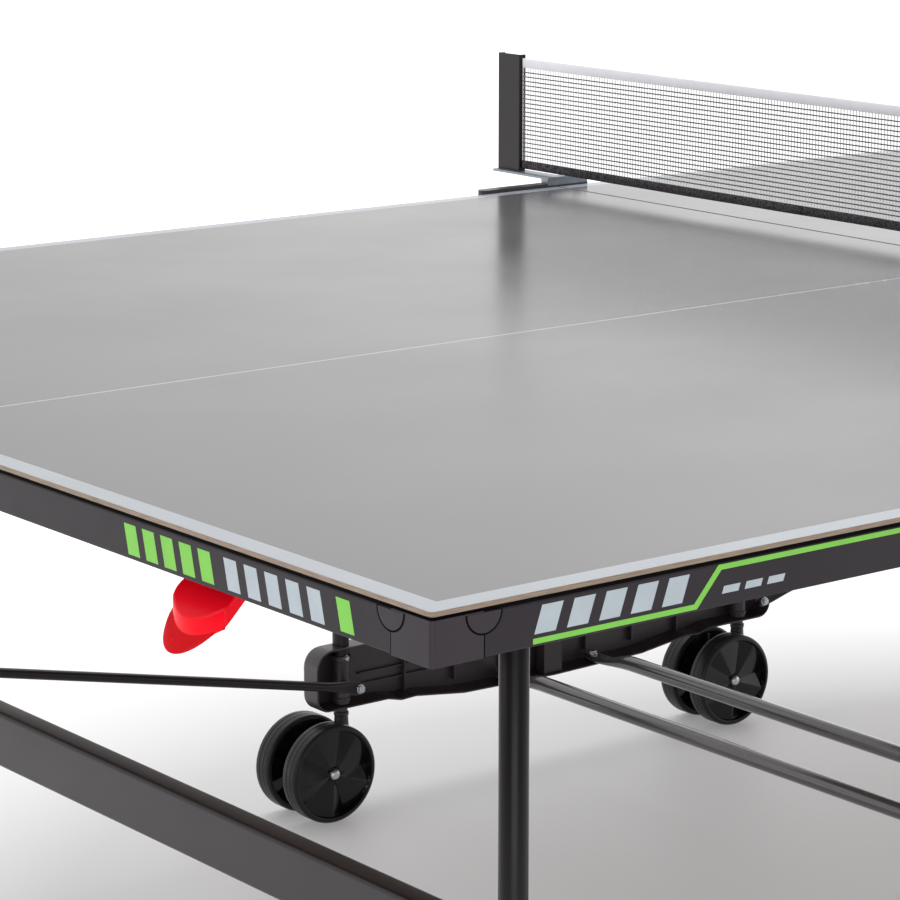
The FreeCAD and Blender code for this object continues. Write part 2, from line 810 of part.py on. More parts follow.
def make_caster(half, side):
    """A swivelling twin caster: fork with stem and axle, two wheels, a brake pedal on near ones."""
    name = f"{side}_{half}"
    stem_x = f"{HALVES[half]} * post_x"
    y = f"{SIDES[side]} * post_y"
    axle_x = f"{stem_x} - caster_trail"
    stem = rod(f"stem_{name}", (stem_x, y, "wheel_radius + stem_rise"), "z", "stem_radius",
               "stem_top - wheel_radius - stem_rise")
    collar = rod(f"collar_{name}", (stem_x, y, "wheel_radius + collar_rise"), "z",
                 "fork_width / 2 + overlap", "collar_height")
    arm = box(f"fork_arm_{name}",
              (f"{axle_x} - fork_arm_past_axle", f"{y} - fork_width / 2", "wheel_radius - fork_arm_drop"),
              ("caster_trail + fork_arm_past_axle + fork_arm_past_stem", "fork_width", "fork_arm_height"))
    wheel_face = "(wheel_spacing / 2 + wheel_width / 2)"
    axle_start = (axle_x, f"{y} - {wheel_face} - axle_past_wheel", "wheel_radius")
    axle = rod(f"axle_{name}", axle_start, "y", "axle_radius", f"2 * ({wheel_face} + axle_past_wheel)")
    nuts = []
    for edge, sign in (("inner", -1), ("outer", 1)):
        face = f"({wheel_face} - overlap)"
        low = f"{y} - {face} - nut_height" if sign < 0 else f"{y} + {face}"
        nuts.append(rod(f"nut_{name}_{edge}", (axle_x, low, "wheel_radius"), "y",
                        "nut_radius", "nut_height"))
    node(fused(f"fork_{name}", [stem, collar, arm, axle] + nuts), f"caster_fork_{name}")
    for edge, sign in (("a", -1), ("b", 1)):
        centre = (axle_x, f"({y} + {sign} * wheel_spacing / 2)", "wheel_radius")
        make_wheel(f"wheel_{name}_{edge}", centre)
    if side == "near":
        pedal = box(f"pedal_{name}",
                    (f"{axle_x} - pedal_reach", f"{y} - pedal_width / 2", "wheel_radius + pedal_rise"),
                    ("pedal_length", "pedal_width", "pedal_thickness"))
        pin = rod(f"pedal_boss_{name}",
                  (f"{axle_x} - pedal_pivot_back", f"{y} - pedal_boss_width / 2",
                   "wheel_radius + pedal_pivot_rise"),
                  "y", "pedal_boss_radius", "pedal_boss_width")
        node(fused(f"pedal_{name}_whole", [pedal, pin]), f"brake_pedal_{half}")


# ---------------------------------------------------------------- release levers

def lever_slab(name, sign, corners, radius):
    """A slab across a lever's width, with its front rounded about a vertical axis."""
    body = new_body(name)
    sketch = new_sketch(body, name + "_side", "XZ_Plane", f"-({sign} * lever_y) - lever_width / 2")
    outline(sketch, corners)
    pad(body, sketch, "lever_width")
    centre = (f"{corners[0][0]} + {radius}", f"{sign} * lever_y", "0")
    return common(name + "_rounded", body, rod(name + "_front", centre, "z", radius, "table_height"))


def make_release_levers():
    """Pull levers that slope down at 45 degrees from behind both end aprons, each with a thin brim."""
    rise = "lever_front_top + lever_front_x"
    low = f"{rise} - lever_depth"
    for side, sign in SIDES.items():
        slab = lever_slab(f"lever_slab_{side}", sign, [
            ("-lever_front_x", f"{low} - lever_front_x"), ("-lever_front_x", "lever_front_top"),
            ("-lever_pivot_x", f"{rise} - lever_pivot_x"), ("-lever_pivot_x", f"{low} - lever_pivot_x"),
        ], "lever_front_radius")
        brim = lever_slab(f"lever_brim_{side}", sign, [
            ("-lever_brim_x", f"{low} - lever_brim_x"),
            ("-lever_brim_x", f"{low} - lever_brim_x + lever_brim_depth"),
            ("-lever_brim_root_x", f"{low} - lever_brim_root_x + lever_brim_depth"),
            ("-lever_brim_root_x", f"{low} - lever_brim_root_x"),
        ], "lever_brim_radius")
        near_edge = f"{sign} * lever_y - lever_width / 2"
        eye = rod(f"lever_eye_{side}", ("-lever_pivot_x", near_edge, "lever_pivot_z"), "y",
                  "lever_eye_radius", "lever_width")
        bore = rod(f"lever_bore_{side}", ("-lever_pivot_x", f"{near_edge} - overcut", "lever_pivot_z"), "y",
                   "lever_pin_radius + running_gap", "lever_width + 2 * overcut")
        both_halves(cut(f"lever_{side}", fused(f"lever_{side}_blank", [slab, brim, eye]), bore),
                    f"release_lever_{side}")


# ---------------------------------------------------------------- net

NET_TOP = "(table_height + net_height)"
NET_BOTTOM = "(table_height + net_clearance)"


def make_net_brackets():
    """Uprights outside the table edges, each with a clamp plate and a rounded bar beside the top."""
    y = "-net_plate_inner - net_plate_width"
    upright = box("net_upright", ("-net_tube_width / 2", y, "net_tube_bottom"),
                  ("net_tube_width", "net_plate_width", "net_plate_top - net_tube_bottom"))
    plate_bottom = "net_plate_top - net_plate_thickness"
    right = "net_plate_right - net_plate_width / 2"
    plate = box("net_plate", ("-net_bar_end", y, plate_bottom),
                (f"net_bar_end + {right}", "net_plate_width", "net_plate_thickness"))
    plate_end = rod("net_plate_end", (right, f"{y} + net_plate_width / 2", plate_bottom), "z",
                    "net_plate_width / 2", "net_plate_thickness")
    left = "-net_plate_left + net_plate_width / 2"
    bar_bottom = "net_bar_top - net_bar_thickness"
    bar = box("net_bar", (left, y, bar_bottom),
              (f"-net_bar_end - ({left})", "net_plate_width", "net_bar_thickness"))
    bar_end = rod("net_bar_rounded_end", (left, f"{y} + net_plate_width / 2", bar_bottom), "z",
                  "net_plate_width / 2", "net_bar_thickness")
    whole = fused("net_bracket", [upright, plate, plate_end, bar, bar_end])
    hole_start = ("clamp_x", f"{y} + net_plate_width / 2", "net_plate_top - clamp_hole_depth")
    hole = rod("clamp_hole", hole_start, "z", "clamp_radius + running_gap", "clamp_hole_depth + overcut")
    node(pair_across_y("net_bracket_pair", cut("net_bracket_bored", whole, hole)), "net_brackets")


def make_clamp_screws():
    """Screws that hold the net arms down on their brackets, each with a knob below."""
    y = "(net_plate_inner + net_plate_width / 2)"
    for side, sign in SIDES.items():
        centre = ("clamp_x", f"{sign} * {y}")
        shaft = rod(f"clamp_shaft_{side}", (*centre, "net_plate_top - clamp_shaft_length"), "z",
                    "clamp_radius", "clamp_shaft_length + clamp_jaw_thickness")
        head = rod(f"clamp_head_{side}", (*centre, "net_plate_top + clamp_jaw_thickness"), "z",
                   "2 * clamp_radius", "clamp_head_height")
        knob_bottom = "net_plate_top - clamp_shaft_length - clamp_knob_height / 2"
        knob = rod(f"clamp_knob_{side}", (*centre, knob_bottom), "z", "clamp_knob_radius",
                   "clamp_knob_height")
        node(fused(f"clamp_{side}", [shaft, head, knob]), f"net_clamp_screw_{side}")


def make_net_arms():
    """Galvanised strips from the brackets out to the net posts, with a clamp jaw."""
    start = "-net_post_inner - net_post_width"
    strip_bottom = "net_plate_top + clamp_jaw_thickness - net_arm_thickness"
    strip = box("arm_strip", ("-net_arm_width / 2", start, strip_bottom),
                ("net_arm_width", "net_post_width + net_post_inner - net_plate_inner",
                 "net_arm_thickness"))
    jaw_start = ("-net_arm_width / 2", "-net_plate_inner - net_plate_width + clamp_jaw_inset",
                 "net_plate_top")
    jaw = box("arm_jaw", jaw_start,
              ("net_arm_width / 2 + clamp_x + clamp_jaw_end", "net_plate_width - 2 * clamp_jaw_inset",
               "clamp_jaw_thickness"))
    hole_start = ("clamp_x", "-net_plate_inner - net_plate_width / 2", "net_plate_top - overcut")
    hole = rod("arm_hole", hole_start, "z", "clamp_radius + running_gap",
               "clamp_jaw_thickness + 2 * overcut")
    arm = cut("net_arm", fused("net_arm_blank", [strip, jaw]), hole)
    node(pair_across_y("net_arm_pair", arm), "net_base_arms")


def make_net_posts():
    """Folded steel posts: a flat face towards each end of the net, with two short flanges."""
    body = new_body("net_post_body")
    inner = "-net_post_inner"
    outer = "-net_post_inner - net_post_width"
    sketch = new_sketch(body, "net_post_section", "XY_Plane", "net_plate_top + clamp_jaw_thickness")
    outline(sketch, [
        ("-net_post_flange / 2", outer), ("net_post_flange / 2", outer),
        ("net_post_flange / 2", f"{outer} + net_post_thickness"),
        ("-net_post_flange / 2 + net_post_thickness", f"{outer} + net_post_thickness"),
        ("-net_post_flange / 2 + net_post_thickness", f"{inner} - net_post_thickness"),
        ("net_post_flange / 2", f"{inner} - net_post_thickness"),
        ("net_post_flange / 2", inner), ("-net_post_flange / 2", inner),
    ])
    pad(body, sketch, f"{NET_TOP} - net_plate_top - clamp_jaw_thickness + net_post_rise")
    node(pair_across_y("net_post_pair", body), "net_posts")


def make_net():
    """The net between the posts: mesh, white top tape and dark bottom band."""
    length = "2 * net_post_inner"
    rows = (
        ("net_bottom_band", NET_BOTTOM, "net_band", "2 * net_thickness"),
        ("net_sheet", f"{NET_BOTTOM} + net_band", f"{NET_TOP} - {NET_BOTTOM} - net_band - net_tape",
         "net_thickness"),
        ("net_top_tape", f"{NET_TOP} - net_tape", "net_tape", "2 * net_thickness"),
    )
    for label, bottom, height, thickness in rows:
        strip = box(label + "_strip", (f"-{thickness} / 2", "-net_post_inner", bottom),
                    (thickness, length, height))
        node(strip, label)


# ---------------------------------------------------------------- build, check and write

def build():
    make_top_panel()
    make_end_rail()
    make_side_rails()
    make_inner_rail()
    make_braces()
    make_corner_caps()
    make_fold_brackets()
    make_leg_hinge_brackets()
    make_leg_tubes()
    make_leg_crossbar()
    make_levelling_feet()
    make_link_rods()
    make_side_beams()
    make_carriage_posts()
    make_cross_tubes()
    for half in HALVES:
        for side in SIDES:
            make_caster(half, side)
    make_release_levers()
    make_net_brackets()
    make_clamp_screws()
    make_net_arms()
    make_net_posts()
    make_net()
    doc.recompute()


def check():
    """Stop if any object failed to compute or any sub-part isn't a valid shape."""
    for item in doc.Objects:
        if "Invalid" in item.State or "Error" in item.State:
            raise RuntimeError(f"{item.Name} did not compute: {item.State}")
    for item in nodes:
        if item.Shape.isNull() or not item.Shape.isValid() or not item.Shape.Solids:
            raise RuntimeError(f"{item.Label} has no valid solid")


def write():
    os.makedirs("parts", exist_ok=True)
    for item in nodes:
        item.Shape.exportStep(f"parts/{item.Label}.step")
        size = item.Shape.BoundBox
        print(f"{item.Label}: {len(item.Shape.Solids)} solids, "
              f"x {size.XMin:.1f}..{size.XMax:.1f}, y {size.YMin:.1f}..{size.YMax:.1f}, "
              f"z {size.ZMin:.1f}..{size.ZMax:.1f}, {item.Shape.Volume / 1000:.1f} cm3")


build()
check()
write()
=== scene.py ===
import json
import math

import bmesh
import bpy
from mathutils import Matrix, Vector


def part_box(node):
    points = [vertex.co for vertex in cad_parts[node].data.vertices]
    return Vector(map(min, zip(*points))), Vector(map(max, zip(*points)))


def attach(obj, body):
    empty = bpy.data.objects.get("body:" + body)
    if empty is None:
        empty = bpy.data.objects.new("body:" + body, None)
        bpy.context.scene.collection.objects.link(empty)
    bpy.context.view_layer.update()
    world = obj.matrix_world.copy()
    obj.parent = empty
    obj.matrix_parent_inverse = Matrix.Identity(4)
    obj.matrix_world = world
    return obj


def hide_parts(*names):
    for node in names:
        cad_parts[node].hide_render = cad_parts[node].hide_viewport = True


# A folding ping pong table, in metres. Left is -X, right +X, near -Y and far +Y, as in the frame.

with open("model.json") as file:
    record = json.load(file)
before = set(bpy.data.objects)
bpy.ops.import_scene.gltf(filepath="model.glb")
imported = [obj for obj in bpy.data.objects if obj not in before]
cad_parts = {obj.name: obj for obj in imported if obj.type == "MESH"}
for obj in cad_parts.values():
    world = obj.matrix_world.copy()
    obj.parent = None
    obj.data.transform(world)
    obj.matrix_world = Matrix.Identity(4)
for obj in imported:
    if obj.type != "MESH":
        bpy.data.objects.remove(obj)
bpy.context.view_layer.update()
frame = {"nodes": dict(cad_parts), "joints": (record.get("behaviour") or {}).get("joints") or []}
SIDES = {"near": -1, "far": 1}
HALVES = {"left": -1, "right": 1}
MM = 0.001


# ---------------------------------------------------------------- materials

def linear(red, green, blue):
    """A colour given as 0 to 255 screen values, as the linear values that a shader takes."""
    return tuple(((value / 255 + 0.055) / 1.055) ** 2.4 if value > 10 else value / 255 / 12.92
                 for value in (red, green, blue)) + (1.0,)


class Finish:
    """A principled material whose colour, roughness and relief come from noise in object space."""

    def __init__(self, name, colour, roughness, metallic=0.0, coat=0.0, specular=0.5):
        self.material = bpy.data.materials.new(name)
        self.material.use_nodes = True
        self.nodes = self.material.node_tree.nodes
        self.links = self.material.node_tree.links
        self.shader = self.nodes["Principled BSDF"]
        self.colour = colour
        self.place = self.node("ShaderNodeTexCoord").outputs["Object"]
        self.shader.inputs["Base Color"].default_value = colour
        self.shader.inputs["Roughness"].default_value = roughness
        self.shader.inputs["Metallic"].default_value = metallic
        self.shader.inputs["Coat Weight"].default_value = coat
        self.shader.inputs["Coat Roughness"].default_value = 0.12
        self.shader.inputs["Specular IOR Level"].default_value = specular
        self.height = None

    def painted_glow(self, colour, strength):
        """Painted light: a glow of its own, standing in for light that thin cloth passes through."""
        self.shader.inputs["Emission Color"].default_value = colour
        self.shader.inputs["Emission Strength"].default_value = strength
        return self

    def node(self, kind, **inputs):
        made = self.nodes.new(kind)
        for key, value in inputs.items():
            made.inputs[key.replace("_", " ")].default_value = value
        return made

    def noise(self, scale, detail=4.0, stretch=(1, 1, 1)):
        mapping = self.node("ShaderNodeMapping")
        mapping.inputs["Scale"].default_value = stretch
        self.links.new(self.place, mapping.inputs["Vector"])
        texture = self.node("ShaderNodeTexNoise", Scale=scale, Detail=detail)
        self.links.new(mapping.outputs["Vector"], texture.inputs["Vector"])
        return texture.outputs["Fac"]

    def spread(self, source, low, high, start=0.3, stop=0.7):
        ranged = self.node("ShaderNodeMapRange")
        for key, value in (("From Min", start), ("From Max", stop), ("To Min", low), ("To Max", high)):
            ranged.inputs[key].default_value = value
        self.links.new(source, ranged.inputs["Value"])
        return ranged.outputs["Result"]

    def mottle(self, scale, amount, stretch=(1, 1, 1)):
        """Lighter and darker patches of the base colour."""
        shade = self.node("ShaderNodeMix")
        shade.data_type = "RGBA"
        dark = [value * (1 - amount) for value in self.colour[:3]] + [1]
        light = [min(1, value * (1 + amount)) for value in self.colour[:3]] + [1]
        shade.inputs[6].default_value = dark
        shade.inputs[7].default_value = light
        self.links.new(self.spread(self.noise(scale, 5, stretch), 0, 1), shade.inputs[0])
        self.links.new(shade.outputs[2], self.shader.inputs["Base Color"])
        return self

    def polish(self, scale, low, high, stretch=(1, 1, 1)):
        """Roughness that drifts between two values."""
        drift = self.spread(self.noise(scale, 4, stretch), low, high)
        self.links.new(drift, self.shader.inputs["Roughness"])
        return self

    def relief(self, scale, strength, depth, detail=3.0, stretch=(1, 1, 1)):
        """Fine bumps, with their depth in metres. Calling it again adds a second layer."""
        return self.relief_of(self.noise(scale, detail, stretch), strength, depth)

    def relief_of(self, source, strength, depth):
        bump = self.node("ShaderNodeBump", Strength=strength, Distance=depth)
        self.links.new(source, bump.inputs["Height"])
        if self.height:
            self.links.new(self.height, bump.inputs["Normal"])
        self.height = bump.outputs["Normal"]
        self.links.new(self.height, self.shader.inputs["Normal"])
        return self

    def waves(self, scale, direction):
        """Straight stripes along one axis of object space."""
        wave = self.node("ShaderNodeTexWave", Scale=scale, Distortion=0.0)
        wave.bands_direction = direction
        self.links.new(self.place, wave.inputs["Vector"])
        return wave.outputs["Fac"]

    def two_tone(self, source, first, second):
        """One colour where a pattern is dark and another where it is light."""
        shade = self.node("ShaderNodeMix")
        shade.data_type = "RGBA"
        shade.inputs[6].default_value = first
        shade.inputs[7].default_value = second
        self.links.new(source, shade.inputs[0])
        self.links.new(shade.outputs[2], self.shader.inputs["Base Color"])
        return self


# Colour, roughness, then what mottle, polish and relief take, and any other shader values.
PLAIN_FINISHES = {
    "playing_surface": ((0.084, 0.083, 0.085, 1), 0.19, (3, 0.03), (5, 0.17, 0.22),
        (900, 0.1, 0.0001), {"specular": 0.45}),
    "line_paint": ((0.275, 0.298, 0.327, 1), 0.26, (12, 0.03), (8, 0.23, 0.29),
        (900, 0.1, 0.0001), {}),
    "apron_paint": ((0.0155, 0.0112, 0.0148, 1), 0.42, (9, 0.05), (14, 0.37, 0.46),
        (1400, 0.22, 0.00015), {"specular": 0.2}),
    "cap_plastic": ((0.0215, 0.016, 0.0212, 1), 0.44, (20, 0.05), (22, 0.4, 0.5),
        (1100, 0.35, 0.0002), {"specular": 0.24}),
    # A darker copy of tube_paint for the leg tubes: painted shade.
    "leg_paint": ((0.0052, 0.0038, 0.0048, 1), 0.31, (12, 0.06), (15, 0.28, 0.35),
        (1600, 0.12, 0.0001), {"specular": 0.18}),
    "tube_paint": ((0.0135, 0.0098, 0.0122, 1), 0.31, (12, 0.06), (15, 0.28, 0.35),
        (1600, 0.12, 0.0001), {"specular": 0.3}),
    "black_plastic": ((0.044, 0.035, 0.042, 1), 0.38, (14, 0.12), (18, 0.32, 0.45),
        (700, 0.2, 0.0002), {"specular": 0.5}),
    "gloss_black": ((0.005, 0.0038, 0.005, 1), 0.15, (25, 0.12), (30, 0.11, 0.19),
        (60, 0.06, 0.0004), {"specular": 0.36}),
    "tread_rubber": ((0.0095, 0.0082, 0.0095, 1), 0.36, (30, 0.14), (40, 0.3, 0.44),
        (900, 0.3, 0.0002), {"specular": 0.32}),
    "silver_tube": ((0.12, 0.115, 0.12, 1), 0.17, (10, 0.05), (12, 0.16, 0.24),
        (1500, 0.08, 0.0001), {"metallic": 0.55, "coat": 0.5}),
    "red_plastic": ((0.8, 0.002, 0.012, 1), 0.24, (30, 0.04), (26, 0.2, 0.28),
        (120, 0.05, 0.0003), {"specular": 0.09}),
    # A darker copy of red_plastic for the lever's brim: painted shade.
    "red_brim_painted_shade": ((0.6, 0.001, 0.006, 1), 0.24, (30, 0.04), (26, 0.2, 0.28),
        (120, 0.05, 0.0003), {"specular": 0.05}),
    "dull_steel": (linear(140, 146, 154), 0.42, (200, 0.12), (160, 0.36, 0.5),
        (900, 0.15, 0.0001), {"metallic": 0.85}),
    "zinc": (linear(196, 202, 208), 0.24, (300, 0.1), (220, 0.16, 0.36),
        (900, 0.15, 0.0001), {"metallic": 1.0}),
    "foot_rubber": (linear(34, 32, 33), 0.62, (40, 0.15), (40, 0.55, 0.7),
        (600, 0.3, 0.0003), {}),
    "green_print": (linear(112, 182, 66), 0.4, (50, 0.04), (30, 0.36, 0.44),
        (1400, 0.15, 0.0001), {"specular": 0.3}),
    "silver_print": (linear(160, 170, 176), 0.36, (60, 0.05), (30, 0.3, 0.4),
        (1400, 0.15, 0.0001), {"specular": 0.3}),
}


def make_finishes():
    """Every material, by the name that the pieces use."""
    made = {}

    def keep(name, finish):
        made[name] = finish.material

    for name, (colour, roughness, patches, shine, bumps, others) in PLAIN_FINISHES.items():
        plain = Finish(name, colour, roughness, **others)
        keep(name, plain.mottle(*patches).polish(*shine).relief(*bumps))
    edge = Finish("laminate_edge", linear(126, 108, 92), 0.5)
    layers = edge.spread(edge.noise(60, 4, (1, 1, 40)), 0, 1)
    edge.two_tone(layers, linear(104, 88, 74), linear(146, 127, 108))
    keep("laminate_edge", edge.relief(700, 0.3, 0.0001))
    thread = Finish("dark_thread", linear(102, 100, 104), 0.75, specular=0.2)
    keep("dark_thread", thread.mottle(120, 0.2).relief(2500, 0.5, 0.0002, stretch=(1, 0.3, 1)))
    pale = Finish("pale_thread", linear(214, 214, 214), 0.75, specular=0.2)
    # Painted light: the pale threads glow a little, standing in for light passing through them.
    pale.painted_glow((0.95, 0.96, 0.97, 1), 0.1)
    keep("pale_thread", pale.mottle(150, 0.1).relief(2500, 0.5, 0.0002))
    tape = Finish("white_tape", linear(214, 213, 219), 0.7, specular=0.2)
    # Painted light: the tape glows a little, standing in for light passing through it.
    tape.painted_glow((0.93, 0.93, 0.97, 1), 0.12)
    tape.mottle(40, 0.03).relief_of(tape.waves(260, "Z"), 0.3, 0.0002)
    keep("white_tape", tape.relief_of(tape.waves(200, "Y"), 0.3, 0.0002))
    band = Finish("dark_band", linear(50, 46, 50), 0.85, specular=0.15)
    band.two_tone(band.spread(band.noise(420, 3), 0, 1), linear(26, 24, 28), linear(92, 88, 92))
    band.relief_of(band.waves(170, "Y"), 0.6, 0.0005)
    keep("dark_band", band.relief(1200, 0.6, 0.0003))
    # Near black: painted shadow in the gap under the panel, and in the grooves and seams round the lugs.
    shadow = Finish("gap_seal", (0.002, 0.0018, 0.002, 1), 0.8, specular=0.05)
    keep("gap_seal", shadow.mottle(60, 0.2).relief(500, 0.2, 0.0002))
    return made


FINISHES = make_finishes()


# ---------------------------------------------------------------- geometry helpers

def loft(bm, rings, wrap=False, material=0):
    """Skin a list of equally long rings. Without wrap both ends are closed."""
    rows = [[bm.verts.new(point) for point in ring] for ring in rings]
    count = len(rows[0])
    pairs = list(zip(rows, rows[1:]))
    if wrap:
        pairs.append((rows[-1], rows[0]))
    faces = []
    for low, high in pairs:
        for index in range(count):
            following = (index + 1) % count
            faces.append(bm.faces.new((low[index], low[following], high[following], high[index])))
    if not wrap:
        faces.append(bm.faces.new(rows[0][::-1]))
        faces.append(bm.faces.new(rows[-1]))
    for face in faces:
        face.material_index = material
    return faces


AXES = {
    "x": (Vector((0, 1, 0)), Vector((0, 0, 1)), Vector((1, 0, 0))),
    "y": (Vector((0, 0, 1)), Vector((1, 0, 0)), Vector((0, 1, 0))),
    "z": (Vector((1, 0, 0)), Vector((0, 1, 0)), Vector((0, 0, 1))),
}


def circle(centre, axis, radius, steps):
    """Points of a circle across one of the main axes."""
    first, second, _ = AXES[axis]
    turn = 2 * math.pi / steps
    return [Vector(centre) + radius * (math.cos(turn * step) * first + math.sin(turn * step) * second)
            for step in range(steps)]


def lathe(bm, centre, axis, profile, steps=40, wrap=False, material=0):
    """A turned piece from (distance along the axis, radius) pairs."""
    along = AXES[axis][2]
    rings = [circle(Vector(centre) + along * place, axis, max(radius, 1e-5), steps)
             for place, radius in profile]
    return loft(bm, rings, wrap, material)


def rounded(corners, steps=5):
    """A 2-D outline from (x, y, radius) corners, each rounded by an arc."""
    points = []
    count = len(corners)
    for index, (x, y, radius) in enumerate(corners):
        here = Vector((x, y))
        before = (Vector(corners[index - 1][:2]) - here).normalized()
        after = (Vector(corners[(index + 1) % count][:2]) - here).normalized()
        if radius <= 0:
            points.append(here)
            continue
        half = before.angle(after) / 2
        centre = here + (before + after).normalized() * (radius / math.sin(half))
        start = here + before * (radius / math.tan(half)) - centre
        stop = here + after * (radius / math.tan(half)) - centre
        sweep = start.angle_signed(stop)
        for step in range(steps + 1):
            angle = -sweep * step / steps
            points.append(centre + Matrix.Rotation(angle, 2) @ start)
    return points


def extrude(bm, outline, axis, start, stop, material=0):
    """A solid bar with a 2-D outline, given in the two directions across its axis."""
    first, second, along = AXES[axis]
    rings = [[first * point[0] + second * point[1] + along * place for point in outline]
             for place in (start, stop)]
    return loft(bm, rings, material=material)


def hollow_bar(bm, outer, inner, axis, start, stop, material=0):
    """An open-ended tube with matching outer and inner outlines."""
    first, second, along = AXES[axis]
    rings = [[first * point[0] + second * point[1] + along * place for point in outline]
             for outline, place in ((outer, start), (outer, stop), (inner, stop), (inner, start))]
    return loft(bm, rings, wrap=True, material=material)


def in_metres(*pairs):
    """Pairs of sizes in millimetres, as metres."""
    return [(first * MM, second * MM) for first, second in pairs]


def pressed_circle(steps, power):
    """A unit circle that turns squarer as its power falls, as (out, up) pairs."""
    points = []
    for step in range(steps):
        angle = 2 * math.pi * step / steps
        out = math.copysign(abs(math.cos(angle)) ** power, math.cos(angle))
        up = math.copysign(abs(math.sin(angle)) ** power, math.sin(angle))
        points.append((out, up))
    return points


def ease(place, start, stop):
    """0 before a start and 1 past a stop, with a smooth rise between."""
    share = min(1, max(0, (place - start) / (stop - start)))
    return share * share * (3 - 2 * share)


def bevelled_box(bm, low, high, material=0):
    """A box that takes its rounding from the piece's bevel."""
    outline = [(low[0], low[1]), (high[0], low[1]), (high[0], high[1]), (low[0], high[1])]
    return extrude(bm, outline, "z", low[2], high[2], material)


def hexagon_bolt(bm, centre, axis, facing, across, height, material=0):
    """A washer and a hexagon head with a chamfer, standing out along an axis from a face."""
    thickness = 0.25 * height * facing
    lathe(bm, centre, axis, [(0, across * 0.62), (thickness, across * 0.62)], 28, material=material)
    head = [(thickness, across * 0.5), (height * 0.85 * facing, across * 0.5),
            (height * facing, across * 0.42)]
    lathe(bm, centre, axis, head, 6, material=material)


def placed(bm, x_sign=1, y_sign=1):
    """Mirror everything in a mesh across the middle planes."""
    bmesh.ops.transform(bm, matrix=Matrix.Diagonal((x_sign, y_sign, 1, 1)), verts=bm.verts)


def piece(name, bm, body, finishes, replaced=(), bevel=0.0, segments=2, angle=35):
    """Turn a mesh into an object that rides on a body, with its finish, slot and replaced nodes."""
    bmesh.ops.recalc_face_normals(bm, faces=bm.faces)
    mesh = bpy.data.meshes.new(name)
    bm.to_mesh(mesh)
    bm.free()
    made = bpy.data.objects.new(name, mesh)
    bpy.context.scene.collection.objects.link(made)
    for finish in ([finishes] if isinstance(finishes, str) else finishes):
        mesh.materials.append(FINISHES[finish])
    shade(made, bevel, segments, angle)
    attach(made, body)
    if replaced:
        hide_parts(*([replaced] if isinstance(replaced, str) else replaced))
    return made


def round_edges(item, width, segments, angle):
    """Bevel the edges sharper than an angle, and even out the shading."""
    rounding = item.modifiers.new("edge_rounding", "BEVEL")
    rounding.width = width
    rounding.segments = segments
    rounding.limit_method = "ANGLE"
    rounding.angle_limit = math.radians(angle)
    item.modifiers.new("even_shading", "WEIGHTED_NORMAL")


def shade(item, bevel, segments=2, angle=35):
    """Smooth shading, with rounded edges or crisp ones."""
    item.data.shade_smooth()
    if bevel:
        round_edges(item, bevel, segments, angle)
    else:
        item.data.set_sharp_from_angle(angle=math.radians(angle))


def carry_over(node, finish, bevel=0.0008):
    """Give a CAD node its material and rounded edges; its own mesh stays as it is."""
    item = frame["nodes"][node]
    item.data.materials.clear()
    item.data.materials.append(FINISHES[finish])
    weld = item.modifiers.new("weld", "WELD")
    weld.merge_threshold = 0.00002
    round_edges(item, bevel, 2, 40)


# ---------------------------------------------------------------- sizes read from the frame

def joint_place(name):
    """Where a joint of the frame is."""
    return next(joint["pos_m"] for joint in frame["joints"] if joint["name"] == name)


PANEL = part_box("top_panel_left")
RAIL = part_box("side_rails_left")
END_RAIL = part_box("end_rail_left")
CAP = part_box("corner_caps_left")
END_X = -PANEL[0].x
SIDE_Y = -PANEL[0].y
TOP_Z = PANEL[1].z
PANEL_Z = PANEL[0].z
RAIL_Z = RAIL[0].z
SEAM_X = -PANEL[1].x
FACE_X = -END_RAIL[0].x
FACE_Y = -RAIL[0].y
CAP_X = -CAP[0].x
CAP_Y = -CAP[0].y
CAP_LENGTH = 45 * MM
RAIL_WALL = 1.5 * MM
RAIL_DEPTH = 18 * MM


# ---------------------------------------------------------------- playing tops

BORDER = 20 * MM
CENTRE_LINE = 1.5 * MM
CORNER = 4 * MM


